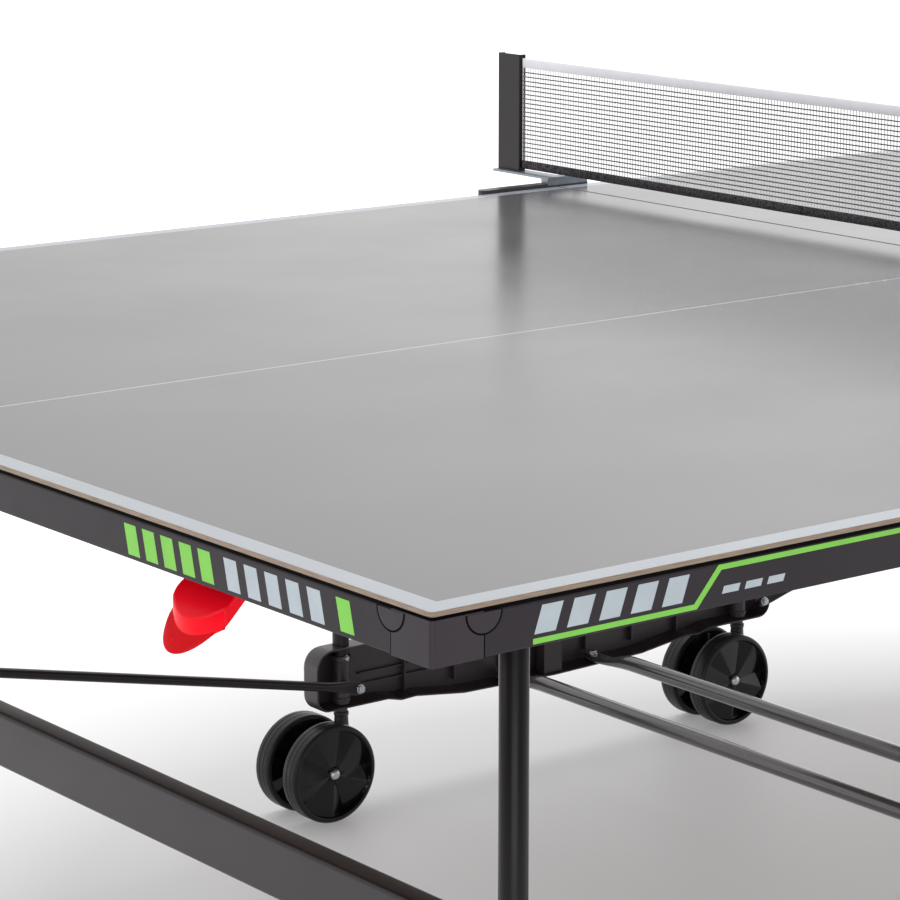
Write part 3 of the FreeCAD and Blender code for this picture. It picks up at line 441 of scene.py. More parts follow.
def make_top(half, sign):
    """A laminate panel with painted lines, a brown edge and rounded outer corners."""
    bm = bmesh.new()
    columns = [-END_X, -END_X + CORNER, -END_X + BORDER, -SEAM_X]
    rows = [-SIDE_Y, -SIDE_Y + CORNER, -SIDE_Y + BORDER, -CENTRE_LINE,
            CENTRE_LINE, SIDE_Y - BORDER, SIDE_Y - CORNER, SIDE_Y]
    made = {}

    def corner_point(x, y, z):
        key = (round(x, 6), round(y, 6), z)
        if key not in made:
            made[key] = bm.verts.new((x, y, z))
        return made[key]

    for left, right in zip(columns, columns[1:]):
        for near, far in zip(rows, rows[1:]):
            centre_y = (near + far) / 2
            on_end = right <= -END_X + BORDER + 1e-6
            on_side = abs(centre_y) > SIDE_Y - BORDER
            on_middle = abs(centre_y) < CENTRE_LINE
            finish = 1 if on_end or on_side or on_middle else 0
            outer_corner = left == -END_X and right == -END_X + CORNER and abs(centre_y) > SIDE_Y - CORNER
            if outer_corner:
                across = 1 if centre_y > 0 else -1
                pivot = Vector((right, across * (SIDE_Y - CORNER)))
                turns = [step * math.pi / 12 for step in range(7)]
                arc = [pivot + CORNER * Vector((-math.sin(turn), across * math.cos(turn)))
                       for turn in turns]
                face = bm.faces.new([corner_point(point.x, point.y, TOP_Z) for point in [pivot] + arc])
            else:
                face = bm.faces.new([corner_point(x, y, TOP_Z) for x, y in
                                     ((left, near), (right, near), (right, far), (left, far))])
            face.material_index = finish
    bmesh.ops.recalc_face_normals(bm, faces=bm.faces)
    top_faces = list(bm.faces)
    if top_faces[0].normal.z < 0:
        bmesh.ops.reverse_faces(bm, faces=top_faces)
    below = bmesh.ops.extrude_face_region(bm, geom=top_faces)
    lowered = [item for item in below["geom"] if isinstance(item, bmesh.types.BMVert)]
    bmesh.ops.translate(bm, vec=(0, 0, PANEL_Z - TOP_Z), verts=lowered)
    for face in bm.faces:
        level = face.calc_center_median().z
        if level < TOP_Z - 1e-6:
            face.material_index = 2
    placed(bm, -sign)
    piece(f"playing_top_{half}", bm, f"{half}_half",
          ["playing_surface", "line_paint", "laminate_edge"], f"top_panel_{half}",
          bevel=0.5 * MM, angle=60)


# ---------------------------------------------------------------- aprons and corner pieces

# The drop from the panel to the apron tops; a black strip paints the shadow in this gap.
SHADOW_GAP = 3.2 * MM
APRON_TOP = PANEL_Z - SHADOW_GAP


def channel(outer, inward):
    """A C section with rounded outer corners, open towards the middle, as (across, up) corners."""
    inner = outer + inward * RAIL_DEPTH
    web = outer + inward * RAIL_WALL
    return [
        (outer, RAIL_Z, 2 * MM), (inner, RAIL_Z, 0.4 * MM), (inner, RAIL_Z + RAIL_WALL, 0.4 * MM),
        (web, RAIL_Z + RAIL_WALL, 0.8 * MM), (web, APRON_TOP - RAIL_WALL, 0.8 * MM),
        (inner, APRON_TOP - RAIL_WALL, 0.4 * MM), (inner, APRON_TOP, 0.4 * MM), (outer, APRON_TOP, 2 * MM),
    ]


SEAM_GAP = 0.7 * MM
EAR_WIDTH = 3 * MM
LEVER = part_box("release_lever_near_left")
LEVER_Y = 0.5 * (abs(LEVER[0].y) + abs(LEVER[1].y))
LEVER_WIDTH = LEVER[1].y - LEVER[0].y
LEVER_FRONT = -1356.5 * MM
LEVER_FRONT_TOP = 685.5 * MM
LEVER_DEPTH = 15.5 * MM
PIVOT = joint_place("near_left_lever_pull")


def make_end_apron(half, sign):
    """The end apron with the ears that hold the two release levers."""
    bm = bmesh.new()
    reach = CAP_Y - CAP_LENGTH - SEAM_GAP + 0.5 * MM
    section = [(z, x) for x, z in rounded(channel(-FACE_X, 1))]
    extrude(bm, section, "y", -reach, reach)
    inside = -FACE_X + RAIL_WALL
    for side in SIDES.values():
        for edge in (-1, 1):
            middle = side * LEVER_Y + edge * (LEVER_WIDTH / 2 + EAR_WIDTH)
            back = PIVOT[0] + 10 * MM
            high = PIVOT[2] + 8 * MM
            ear = rounded([(inside + 5 * MM, RAIL_Z + 0.4 * MM, 0), (back, RAIL_Z + 0.4 * MM, 6 * MM),
                           (back, high, 6 * MM), (back - 22 * MM, high, 5 * MM),
                           (inside + 5 * MM, RAIL_Z + 9 * MM, 4 * MM)])
            extrude(bm, [(z, x) for x, z in ear], "y", middle - EAR_WIDTH / 2, middle + EAR_WIDTH / 2)
    placed(bm, -sign)
    piece(f"end_apron_{half}", bm, f"{half}_half", "apron_paint", f"end_rail_{half}",
          bevel=0.25 * MM, angle=50)
    pins = bmesh.new()
    for side in SIDES.values():
        centre = (PIVOT[0], side * LEVER_Y, PIVOT[2])
        half_pin = LEVER_WIDTH / 2 + 1.5 * EAR_WIDTH + 1.5 * MM
        lathe(pins, centre, "y", [(-half_pin - 0.5 * MM, 4.4 * MM), (-half_pin + 1 * MM, 5 * MM),
                                  (-half_pin + 1.2 * MM, 3 * MM), (half_pin - 1.2 * MM, 3 * MM),
                                  (half_pin - 1 * MM, 5 * MM), (half_pin + 0.5 * MM, 4.4 * MM)], 24)
    placed(pins, -sign)
    piece(f"lever_pins_{half}", pins, f"{half}_half", "zinc")


def make_side_aprons(half, sign):
    """The two long aprons of a half."""
    bm = bmesh.new()
    start = -(CAP_X - CAP_LENGTH - SEAM_GAP + 0.5 * MM)
    for side in SIDES.values():
        section = [(side * y, z) for y, z in rounded(channel(-FACE_Y, 1))]
        extrude(bm, section, "x", start, RAIL[1].x)
    placed(bm, -sign)
    piece(f"side_aprons_{half}", bm, f"{half}_half", "apron_paint", f"side_rails_{half}",
          bevel=0.25 * MM, angle=50)


def make_gap_shadow_strip(half, sign):
    """A black strip in the gap under the panel, setting it off its frame: painted shadow of that gap."""
    bm = bmesh.new()
    inset = 1.0 * MM
    outer_x = -FACE_X + inset
    outer_y = FACE_Y - inset
    inner_x = outer_x + 8 * MM
    inner_y = outer_y - 8 * MM
    low = APRON_TOP - 0.2 * MM
    high = PANEL_Z
    bevelled_box(bm, (outer_x, -outer_y, low), (inner_x, outer_y, high))
    for side in (-1, 1):
        near, far = sorted((side * inner_y, side * outer_y))
        bevelled_box(bm, (inner_x, near, low), (RAIL[1].x, far, high))
    placed(bm, -sign)
    piece(f"panel_gap_shadow_{half}", bm, f"{half}_half", "gap_seal")


def half_disc(centre, radius, across, up, steps=20):
    """The lower half of a disc, as points from its right end round to its left end."""
    turns = [-math.pi * step / steps for step in range(steps + 1)]
    return [Vector(centre) + radius * (math.cos(turn) * across + math.sin(turn) * up) for turn in turns]


LUG_RADIUS = 15 * MM
LUG_TOP = PANEL_Z - 3.6 * MM
GROOVE = 0.9 * MM
SEAM = 1.3 * MM


def add_lug(bm, centre, across, out):
    """A half-disc lug whose face stands off the apron, with a chamfered edge."""
    up = Vector((0, 0, 1))
    rings = []
    for radius, proud in ((LUG_RADIUS - 0.3 * MM, -0.6 * MM), (LUG_RADIUS - 0.3 * MM, 0.4 * MM),
                          (LUG_RADIUS - 0.8 * MM, 0.65 * MM)):
        middle = Vector(centre) + out * proud
        rings.append(half_disc(middle, radius, across, up))
    loft(bm, rings)


def add_lug_groove_shade(bm, centre, across, out):
    """A black ring round a lug: painted shade of the groove there."""
    up = Vector((0, 0, 1))
    middle = Vector(centre) + out * 0.3 * MM
    wide = half_disc(middle, LUG_RADIUS + GROOVE, across, up)
    slim = half_disc(middle, LUG_RADIUS - 0.4 * MM, across, up)
    back_wide = [point - out * 1.6 * MM for point in wide]
    back_slim = [point - out * 1.6 * MM for point in slim]
    loft(bm, list(zip(*(slim, wide, back_wide, back_slim))))


def make_corner_pieces(half, sign):
    """Moulded corners: two walls round a rounded vertical edge, with a lug over each seam."""
    caps = bmesh.new()
    groove_shades = bmesh.new()
    wall = 3 * MM
    for side in SIDES.values():
        outline = rounded([
            (-CAP_X, -CAP_Y, 3.2 * MM), (-CAP_X + CAP_LENGTH, -CAP_Y, 0.4 * MM),
            (-CAP_X + CAP_LENGTH, -CAP_Y + wall, 0.4 * MM), (-CAP_X + wall, -CAP_Y + wall, 0.8 * MM),
            (-CAP_X + wall, -CAP_Y + CAP_LENGTH, 0.4 * MM), (-CAP_X, -CAP_Y + CAP_LENGTH, 0.4 * MM),
        ], 6)
        ring = [(point.x, -side * point.y) for point in outline]
        cap_top = PANEL_Z - 2.6 * MM
        loft(caps, [[Vector((x, y, z)) for x, y in ring] for z in (RAIL_Z, cap_top)])
        seam_y = side * (CAP_Y - CAP_LENGTH)
        seam_x = -CAP_X + CAP_LENGTH
        add_lug(caps, (-CAP_X + 0.2 * MM, seam_y, LUG_TOP), Vector((0, 1, 0)), Vector((-1, 0, 0)))
        side_centre = (seam_x, side * (CAP_Y - 0.2 * MM), LUG_TOP)
        add_lug(caps, side_centre, Vector((1, 0, 0)), Vector((0, side, 0)))
        add_lug_groove_shade(groove_shades, (-CAP_X, seam_y, LUG_TOP), Vector((0, 1, 0)), Vector((-1, 0, 0)))
        groove_centre = (seam_x, side * CAP_Y, LUG_TOP)
        add_lug_groove_shade(groove_shades, groove_centre, Vector((1, 0, 0)), Vector((0, side, 0)))
        # Black strips down each seam below the lugs: painted shade of the seam gaps.
        low = RAIL_Z + 0.6 * MM
        high = LUG_TOP - LUG_RADIUS
        inner_y = seam_y - side * SEAM
        low_y, high_y = sorted((seam_y + side * 0.3 * MM, inner_y))
        bevelled_box(groove_shades, (-FACE_X - 0.5 * MM, low_y, low), (-FACE_X + 1 * MM, high_y, high))
        near, far = sorted((side * (FACE_Y - 1 * MM), side * (FACE_Y + 0.5 * MM)))
        bevelled_box(groove_shades, (seam_x - 0.3 * MM, near, low), (seam_x + SEAM, far, high))
    placed(caps, -sign)
    placed(groove_shades, -sign)
    piece(f"corner_pieces_{half}", caps, f"{half}_half", "cap_plastic",
          f"corner_caps_{half}", bevel=0.35 * MM, angle=50)
    piece(f"lug_groove_shadows_{half}", groove_shades, f"{half}_half", "gap_seal")


# ---------------------------------------------------------------- printed marks

PRINT = 0.12 * MM


def add_print(bm, corners, axis, material=0):
    """A thin printed shape on the face of an apron, from (along, up) corners."""
    face = -FACE_X if axis == "x" else -FACE_Y
    rings = []
    for place in (face + PRINT, face - PRINT):
        rings.append([Vector((place, along, up)) if axis == "x" else Vector((along, place, up))
                      for along, up in corners])
    loft(bm, rings, material=material)


def slanted_bar(start, width, low, high, lean):
    """A parallelogram leaning along its row."""
    return [(start, low), (start + width, low), (start + width + lean, high), (start + lean, high)]


STRIPE = 4 * MM
STRIPE_LOW = RAIL_Z + 2 * MM
STRIPE_HIGH = RAIL_Z + 27.4 * MM


def stripe_outline(start, bend, stop):
    """A stripe that runs low, climbs a short slope and goes on high."""
    slope = 23 * MM
    outer = bend + 1.2 * MM
    inner = bend - 1.6 * MM
    return [
        (start, STRIPE_LOW), (outer, STRIPE_LOW), (outer + slope, STRIPE_HIGH), (stop, STRIPE_HIGH),
        (stop, STRIPE_HIGH + STRIPE), (inner + slope, STRIPE_HIGH + STRIPE), (inner, STRIPE_LOW + STRIPE),
        (start, STRIPE_LOW + STRIPE),
    ]


GREEN, SILVER = 0, 1
# Rows of bars: apron, ink, count, start from the table's middle, pitch, width, foot, head, lean, in mm.
BARS = (
    ("y", SILVER, 5, -1280, 29, 19, 9, 29, 7),
    ("y", SILVER, 3, -1107, 22, 16, 9.5, 15, 2),
    ("x", GREEN, 5, -401, -25, 16, 4, 27.5, 6),
    ("x", SILVER, 5, -535, -26, 16, 4, 27.5, 6),
    ("x", GREEN, 1, -674, 0, 16, 4, 27.5, 6),
)


def make_marks(half, sign):
    """Plain bars and a stripe in place of any lettering."""
    bm = bmesh.new()
    end = -END_X
    add_print(bm, stripe_outline(end + 89 * MM, end + 238 * MM, RAIL[1].x - 12 * MM), "y", GREEN)
    for axis, ink, count, start, pitch, width, foot, head, lean in BARS:
        for index in range(count):
            bar = slanted_bar((start + index * pitch) * MM, width * MM, RAIL_Z + foot * MM,
                              RAIL_Z + head * MM, lean * MM)
            add_print(bm, bar, axis, ink)
    if sign > 0:
        bmesh.ops.rotate(bm, cent=(0, 0, 0), matrix=Matrix.Rotation(math.pi, 3, "Z"), verts=bm.verts)
    piece(f"printed_marks_{half}", bm, f"{half}_half", ["green_print", "silver_print"])


# ---------------------------------------------------------------- release levers

def lever_top(x):
    """Height of the sloping top face of a lever."""
    return LEVER_FRONT_TOP + x - LEVER_FRONT


def lever_plan():
    """Plan of a lever: a shallow front arc, and an arm that is narrower on its inner side."""
    half = LEVER_WIDTH / 2
    arc = [(LEVER_FRONT + 60 * MM - math.sqrt((60 * MM) ** 2 - y * y), y)
           for y in (half * (step / 6 - 1) for step in range(1, 12))]
    inner = LEVER_FRONT + 12 * MM
    rear = PIVOT[0]
    corners = [(rear, -half, 0), (inner, -half, 5 * MM)]
    corners += [(x, y, 0) for x, y in arc]
    corners += [(inner, half, 7 * MM), (inner + 9 * MM, half - 3 * MM, 7 * MM),
                (inner + 15 * MM, half - 17 * MM, 7 * MM), (rear, half - 17 * MM, 0)]
    return rounded(corners, 5)


def make_lever(side, half):
    """A glossy pull that slopes down from behind the apron, with a thin brim below its front."""
    bm = bmesh.new()
    plan = lever_plan()
    rings = []
    for drop, inset in ((LEVER_DEPTH, 0.8 * MM), (LEVER_DEPTH - 1 * MM, 0), (1.2 * MM, 0),
                        (0.3 * MM, 0.5 * MM), (0, 1.6 * MM)):
        ring = []
        for x, y in plan:
            along = x + inset if x < PIVOT[0] - 1 * MM else x
            across = y - math.copysign(min(abs(y), inset), y)
            ring.append(Vector((along, across, lever_top(along) - drop)))
        rings.append(ring)
    loft(bm, rings)
    wide = LEVER_WIDTH / 2 - 0.4 * MM
    brim_radius = 38.6 * MM
    brim_front = -1368.4 * MM
    rows = []
    for step in range(33):
        y = wide * (step / 16 - 1)
        root = LEVER_FRONT + 60.6 * MM - math.sqrt((60 * MM) ** 2 - y * y)
        lean = min(wide, max(-wide, 1.06 * y - 3.6 * MM))
        edge = min(root - 0.2 * MM, brim_front + brim_radius - math.sqrt(brim_radius ** 2 - lean * lean))
        middle = 0.5 * (root + edge)
        low = LEVER_DEPTH
        row = [(root, low - 2.4 * MM), (middle, low - 1.7 * MM), (edge + 0.4 * MM, low - 1.2 * MM),
               (edge, low - 0.6 * MM), (edge + 0.6 * MM, low - 0.1 * MM), (middle, low), (root, low)]
        rows.append([Vector((x, y, lever_top(x) - drop)) for x, drop in row])
    # The brim takes the darker copy of the red plastic: painted shade.
    loft(bm, rows, material=1)
    edge = LEVER_WIDTH / 2
    eye = [(-edge, 6.4 * MM), (-edge + 0.6 * MM, 7 * MM), (edge - 17.6 * MM, 7 * MM),
           (edge - 17 * MM, 6.4 * MM)]
    lathe(bm, (PIVOT[0], 0, PIVOT[2]), "y", eye, 28)
    bmesh.ops.translate(bm, vec=(0, -LEVER_Y, 0), verts=bm.verts)
    placed(bm, -HALVES[half], -SIDES[side])
    piece(f"pull_lever_{side}_{half}", bm, f"lever_{side}_{half}",
          ["red_plastic", "red_brim_painted_shade"], f"release_lever_{side}_{half}", angle=32)


# ---------------------------------------------------------------- legs

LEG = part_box("leg_tubes_left")
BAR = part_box("leg_crossbar_left")
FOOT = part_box("levelling_foot_near_left")
LEG_X = -0.5 * (FOOT[0].x + FOOT[1].x)
LEG_Y = -0.5 * (FOOT[0].y + FOOT[1].y)
LEG_RADIUS = 11 * MM
LINK_X = -joint_place("left_link_swing")[0]
LINK_Z = joint_place("left_link_swing")[2]
LINK_LEG_Z = 367 * MM
LINK_Y = 730 * MM


def make_legs(half, sign):
    """Round leg tubes with studs for the link rods, and the flat crossbar between them."""
    legs = bmesh.new()
    studs = bmesh.new()
    for side in (-1, 1):
        centre = (-LEG_X, side * LEG_Y, 0)
        bottom, top = LEG[0].z, LEG[1].z
        inner = LEG_RADIUS - 1.5 * MM
        lathe(legs, centre, "z", [(bottom, LEG_RADIUS - 0.4 * MM), (bottom + 0.5 * MM, LEG_RADIUS),
                                  (top - 0.5 * MM, LEG_RADIUS), (top, LEG_RADIUS - 0.4 * MM), (top, inner),
                                  (bottom, inner)], 48, wrap=True)
        face = side * (LEG_Y + LEG_RADIUS - 0.6 * MM)
        lathe(studs, (-LEG_X, face, LINK_LEG_Z), "y",
              [(0, 4 * MM), (side * (LINK_Y - LEG_Y - LEG_RADIUS - 7 * MM), 4 * MM)], 24)
        hexagon_bolt(studs, (-LEG_X, side * (LEG_Y - LEG_RADIUS + 0.8 * MM), LINK_LEG_Z), "y", -side,
                     13 * MM, 5 * MM)
    placed(legs, -sign)
    placed(studs, -sign)
    # The legs take the darker copy of the tube paint: painted shade.
    piece(f"leg_pair_{half}", legs, f"{half}_legs", "leg_paint", f"leg_tubes_{half}",
          angle=40)
    piece(f"leg_studs_{half}", studs, f"{half}_legs", "zinc", bevel=0.3 * MM)
    bar = bmesh.new()
    low, high = BAR

    def section(inset, radius):
        bottom, top = low.z + inset, high.z - inset
        outer, inner = low.x + inset, high.x - inset
        return rounded([(bottom, outer, radius), (top, outer, radius), (top, inner, radius),
                        (bottom, inner, radius)], 6)
    hollow_bar(bar, section(0, 4.5 * MM), section(1.5 * MM, 3 * MM), "y", low.y, high.y)
    placed(bar, -sign)
    piece(f"leg_bar_{half}", bar, f"{half}_legs", "tube_paint",
          f"leg_crossbar_{half}", angle=40)


def make_foot(side, half):
    """A levelling foot: rubber pad and threaded stem."""
    bm = bmesh.new()
    high = FOOT[1]
    centre = (-LEG_X, -LEG_Y, 0)
    pad = in_metres((0, 15), (0.8, 16.6), (2, 17), (8.5, 16.4), (10.5, 14.5), (12, 11), (12.6, 9.2),
                    (13.6, 9.3))
    threads = enumerate(range(15, 80, 2))
    stem = in_metres(*((place, 9.2 if index % 2 else 8.7) for index, place in threads))
    lathe(bm, centre, "z", pad + stem + [(high.z, 8 * MM)], 36)
    placed(bm, -HALVES[half], -SIDES[side])
    piece(f"foot_{side}_{half}_piece", bm, f"foot_{side}_{half}", "foot_rubber",
          f"levelling_foot_{side}_{half}", angle=30)


# ---------------------------------------------------------------- link rods

def make_link_rods(half, sign):
    """Round rods whose ends are pressed flat into drilled tongues."""
    bm = bmesh.new()
    start = Vector((-LINK_X, 0, LINK_Z))
    stop = Vector((-LEG_X, 0, LINK_LEG_Z))
    along = (stop - start).normalized()
    across = Vector((-along.z, 0, along.x))
    length = (stop - start).length
    rod = 6 * MM
    eye = 8.2 * MM
    flat = 2.6 * MM
    press = 50 * MM
    stations = [place * MM for place in (-7.9, -7, -5.4, -3, 0, 7, 14, 22, 32, 41)] + [press]
    stations += [length - place for place in reversed(stations)]
    for side in (-1, 1):
        offset = Vector((0, side * LINK_Y, 0))
        rings = []
        for place in stations:
            depth = min(place, length - place)
            share = ease(depth, 8 * MM, press)
            wide = eye + (rod - eye) * share
            if depth < 0:
                wide = math.sqrt(max(0.04, 1 - (depth / eye) ** 2)) * eye
            thin = flat + (rod - flat) * share
            centre = start + along * place + offset
            rings.append([centre + across * (wide * up) + Vector((0, thin * out, 0))
                          for out, up in pressed_circle(24, 0.62 + 0.38 * share)])
        loft(bm, rings)
    placed(bm, -sign)
    piece(f"swing_rods_{half}", bm, f"{half}_link", "tube_paint", f"link_rods_{half}",
          angle=45)


# ---------------------------------------------------------------- carriage

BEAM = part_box("side_beam_near")
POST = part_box("upright_tubes")
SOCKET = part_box("caster_sockets")
FOLD = joint_place("left_half_fold")
POST_X = -joint_place("near_left_caster_swivel")[0]
POST_Y = -joint_place("near_left_caster_swivel")[1]


def beam_outline(inset):
    """Side view of a tray beam with rounded ends, as (up, along) points."""
    end = BEAM[1].x - inset
    low, high = BEAM[0].z + inset, BEAM[1].z - inset
    right = [
        (0, low, 60 * MM), (150 * MM, low + 3 * MM, 60 * MM), (228 * MM, low + 13 * MM, 12 * MM),
        (251 * MM, low + 12 * MM, 10 * MM), (272 * MM, low + 17 * MM, 10 * MM),
        (end, low + 17 * MM, 19 * MM - inset), (end, high, 24 * MM - inset),
        (262 * MM, high, 26 * MM), (190 * MM, high - 29 * MM, 40 * MM), (0, high - 33 * MM, 60 * MM),
    ]
    left = [(-along, up, radius) for along, up, radius in right[-2:0:-1]]
    return [(up, along) for along, up in rounded(right + left, 6)]


def make_beams():
    """Black moulded trays on each long side, open inwards, with ribs and a stepped rim."""
    for side, sign in SIDES.items():
        bm = bmesh.new()
        wall = 2.6 * MM
        open_y, back_y = BEAM[1].y, BEAM[0].y
        _, _, along = AXES["y"]

        def ring(inset, place):
            return [Vector((point[1], 0, point[0])) + along * place for point in beam_outline(inset)]
        rings = [ring(wall + 1.4 * MM, back_y + wall), ring(wall + 0.8 * MM, back_y + wall + 3 * MM),
                 ring(wall, open_y - 0.8 * MM), ring(wall - 0.7 * MM, open_y), ring(0.7 * MM, open_y),
                 ring(0, open_y - 0.8 * MM), ring(0, back_y + 5 * MM), ring(1.5 * MM, back_y + 1.5 * MM),
                 ring(5 * MM, back_y)]
        loft(bm, rings)
        for centre_x in (-230, -150, -70, 70, 150, 230):
            low, high = BEAM[0].z + 16 * MM, BEAM[0].z + 61 * MM
            bevelled_box(bm, (centre_x * MM - 1.2 * MM, back_y + 2 * MM, low),
                         (centre_x * MM + 1.2 * MM, back_y + 11 * MM, high))
        for rise in (0.036, 0.05):
            bevelled_box(bm, (-300 * MM, back_y + 2 * MM, BEAM[0].z + rise - 1 * MM),
                         (300 * MM, back_y + 7 * MM, BEAM[0].z + rise + 1 * MM))
        placed(bm, 1, -sign)
        piece(f"tray_beam_{side}", bm, "carriage", "black_plastic", f"side_beam_{side}",
              bevel=0.4 * MM, angle=50)


def make_uprights():
    """The four round uprights of the carriage, and the sockets that hold the casters."""
    tubes = bmesh.new()
    sockets = bmesh.new()
    radius = 10.5 * MM
    for x_sign in (-1, 1):
        for y_sign in (-1, 1):
            centre = (x_sign * POST_X, y_sign * POST_Y, 0)
            low, high = POST[0].z, POST[1].z
            post = [(low, radius), (high - 3 * MM, radius), (high - 1 * MM, radius - 0.8 * MM),
                    (high, radius - 3 * MM)]
            lathe(tubes, centre, "z", post, 40)
            base, top = SOCKET[0].z, SOCKET[1].z
            sleeve = [(base, 9.5 * MM), (base + 1.5 * MM, 11 * MM), (base + 5 * MM, 11 * MM),
                      (base + 6 * MM, 12.4 * MM), (base + 9 * MM, 12.4 * MM), (base + 10 * MM, 11.2 * MM),
                      (top - 8 * MM, 11.2 * MM), (top - 7 * MM, 12.4 * MM), (top - 1 * MM, 12.4 * MM),
                      (top, 11.4 * MM)]
            lathe(sockets, centre, "z", sleeve, 40)
    piece("upright_posts", tubes, "carriage", "tube_paint", "upright_tubes", angle=40)
    piece("socket_sleeves", sockets, "carriage", "black_plastic", "caster_sockets",
          angle=40)


def make_cross_tubes():
    """Two silver tubes between the beams, pressed flat and bolted at their ends."""
    low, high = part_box("cross_tubes")
    tube_x = high.x - 13 * MM
    bolts = bmesh.new()
    bm = bmesh.new()
    radius, flat, wide = 10 * MM, 3.6 * MM, 13 * MM
    centre_z = 134 * MM
    tab_z = 126.5 * MM
    press_start = 30 * MM
    press_stop = 88 * MM
    stations = [place * MM for place in (0, 2, 6, 14, 30, 38, 48, 60, 74, 88)]
    width = high.y - low.y
    stations += [width - place for place in reversed(stations)]
    for x_sign in (-1, 1):
        rings = []
        for place in stations:
            depth = min(place, width - place)
            share = ease(depth, press_start, press_stop)
            across = wide + (radius - wide) * share
            if depth < 6 * MM:
                across = wide * (0.62 + 0.38 * depth / (6 * MM))
            height = flat + (radius - flat) * share
            level = tab_z + (centre_z - tab_z) * share
            rings.append([Vector((x_sign * tube_x + across * out, low.y + place, level + height * up))
                          for out, up in pressed_circle(32, 0.6 + 0.4 * share)])
        loft(bm, rings)
        for y_sign in (-1, 1):
            place = (x_sign * tube_x, y_sign * (high.y - 8 * MM), tab_z + flat)
            hexagon_bolt(bolts, place, "z", 1, 12 * MM, 5 * MM)
    piece("carriage_cross_tubes", bm, "carriage", "silver_tube", "cross_tubes", angle=50)
    piece("cross_tube_bolts", bolts, "carriage", "zinc", bevel=0.3 * MM)


def make_pins_and_bolts():
    """Fold pins with domed heads, and hexagon bolts that carry the link rods."""
    bm = bmesh.new()
    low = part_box("pivot_pins_and_bolts")[0]
    for x_sign in (-1, 1):
        for y_sign in (-1, 1):
            outer = y_sign * -low.y
            centre = (x_sign * -FOLD[0], outer, FOLD[2])
            inward = -y_sign
            shaft = -low.y - 737.5 * MM
            pin = [(0, 5.5 * MM), (inward * 1 * MM, 7.6 * MM), (inward * 3.4 * MM, 8.2 * MM),
                   (inward * 3.6 * MM, 5 * MM), (inward * (shaft - 0.6 * MM), 5 * MM),
                   (inward * shaft, 4.4 * MM)]
            lathe(bm, centre, "y", pin, 32)
            base = (x_sign * LINK_X, y_sign * (LINK_Y - 2.5 * MM), LINK_Z)
            lathe(bm, base, "y", [(0, 4 * MM), (y_sign * (POST_Y - LINK_Y - 9 * MM), 4 * MM)], 24)
            hexagon_bolt(bm, base, "y", -y_sign, 9.5 * MM, 5.5 * MM)
            upper = (x_sign * POST_X, y_sign * (POST_Y - 11 * MM), LINK_Z + 30 * MM)
            hexagon_bolt(bm, upper, "y", -y_sign, 6.5 * MM, 3.5 * MM)
    piece("pins_and_bolts", bm, "carriage", "zinc", "pivot_pins_and_bolts", bevel=0.3 * MM)


# ---------------------------------------------------------------- casters

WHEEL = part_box("wheel_near_left_a")
WHEEL_RADIUS = 0.5 * (WHEEL[1].z - WHEEL[0].z)
WHEEL_WIDTH = WHEEL[1].y - WHEEL[0].y
PANELS = 5
FIRST_PANEL = 2.13
SHORT_SLOPE = 0.34


def face_depth(radius, angle):
    """How deep a wheel's face lies at a point: an outer ring, five sloping panels and a hub boss."""
    ring, shelf, hub = 56.4 * MM, 54.6 * MM, 9 * MM
    if radius >= ring:
        return 0.3 * MM
    if radius <= hub:
        return 1.8 * MM
    turn = ((angle - FIRST_PANEL) / (2 * math.pi) * PANELS) % 1
    if turn < SHORT_SLOPE:
        saw = 1 - turn / SHORT_SLOPE
    else:
        saw = (turn - SHORT_SLOPE) / (1 - SHORT_SLOPE)
    spread = min(1, (radius - hub) / (shelf - hub))
    inside = min(1, max(0, (ring - radius) / (ring - shelf)))
    return 0.3 * MM + inside * (2.2 * MM + 8.4 * MM * (1 - saw) * (0.25 + 0.75 * spread))


def make_wheel(side, half, edge):
    """A caster wheel: grooved tread and a glossy face of five sloping panels."""
    node = f"wheel_{side}_{half}_{edge}"
    low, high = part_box(node)
    centre = (low + high) / 2
    bm = bmesh.new()
    half_width = WHEEL_WIDTH / 2
    shoulder = in_metres((-0.4, 6.5), (0, 5.2), (-0.6, 2.6), (-2.4, 0.6), (-5, 0))
    tread = [(-half_width - step, WHEEL_RADIUS - drop) for step, drop in shoulder]
    for groove in (-4 * MM, 4 * MM):
        tread += [(groove + step, WHEEL_RADIUS - drop)
                  for step, drop in in_metres((-0.9, 0), (-0.4, 0.45), (0.4, 0.45), (0.9, 0))]
    tread += [(half_width + step, WHEEL_RADIUS - drop) for step, drop in reversed(shoulder)]
    lathe(bm, centre, "y", tread, 80, wrap=True)
    radii = [57.6, 56.4, 55.6, 54.6, 48, 40, 32, 24, 17, 12, 9.6, 8.6, 5]
    steps = 150
    for facing in (-1, 1):
        rows = []
        for radius in radii:
            row = []
            for step in range(steps):
                angle = 2 * math.pi * step / steps
                depth = face_depth(radius * MM, angle if facing < 0 else -angle)
                point = centre + Vector((math.cos(angle) * radius * MM, facing * (half_width - depth),
                                         math.sin(angle) * radius * MM))
                row.append(point)
            rows.append(row)
        turns = [2 * math.pi * step / steps for step in range(steps)]
        back = [centre + Vector((math.cos(turn), 0, math.sin(turn))) * radii[0] * MM for turn in turns]
        loft(bm, [back] + rows, material=1)
    piece(f"caster_{node}", bm, node, ["tread_rubber", "gloss_black"], node, angle=28)


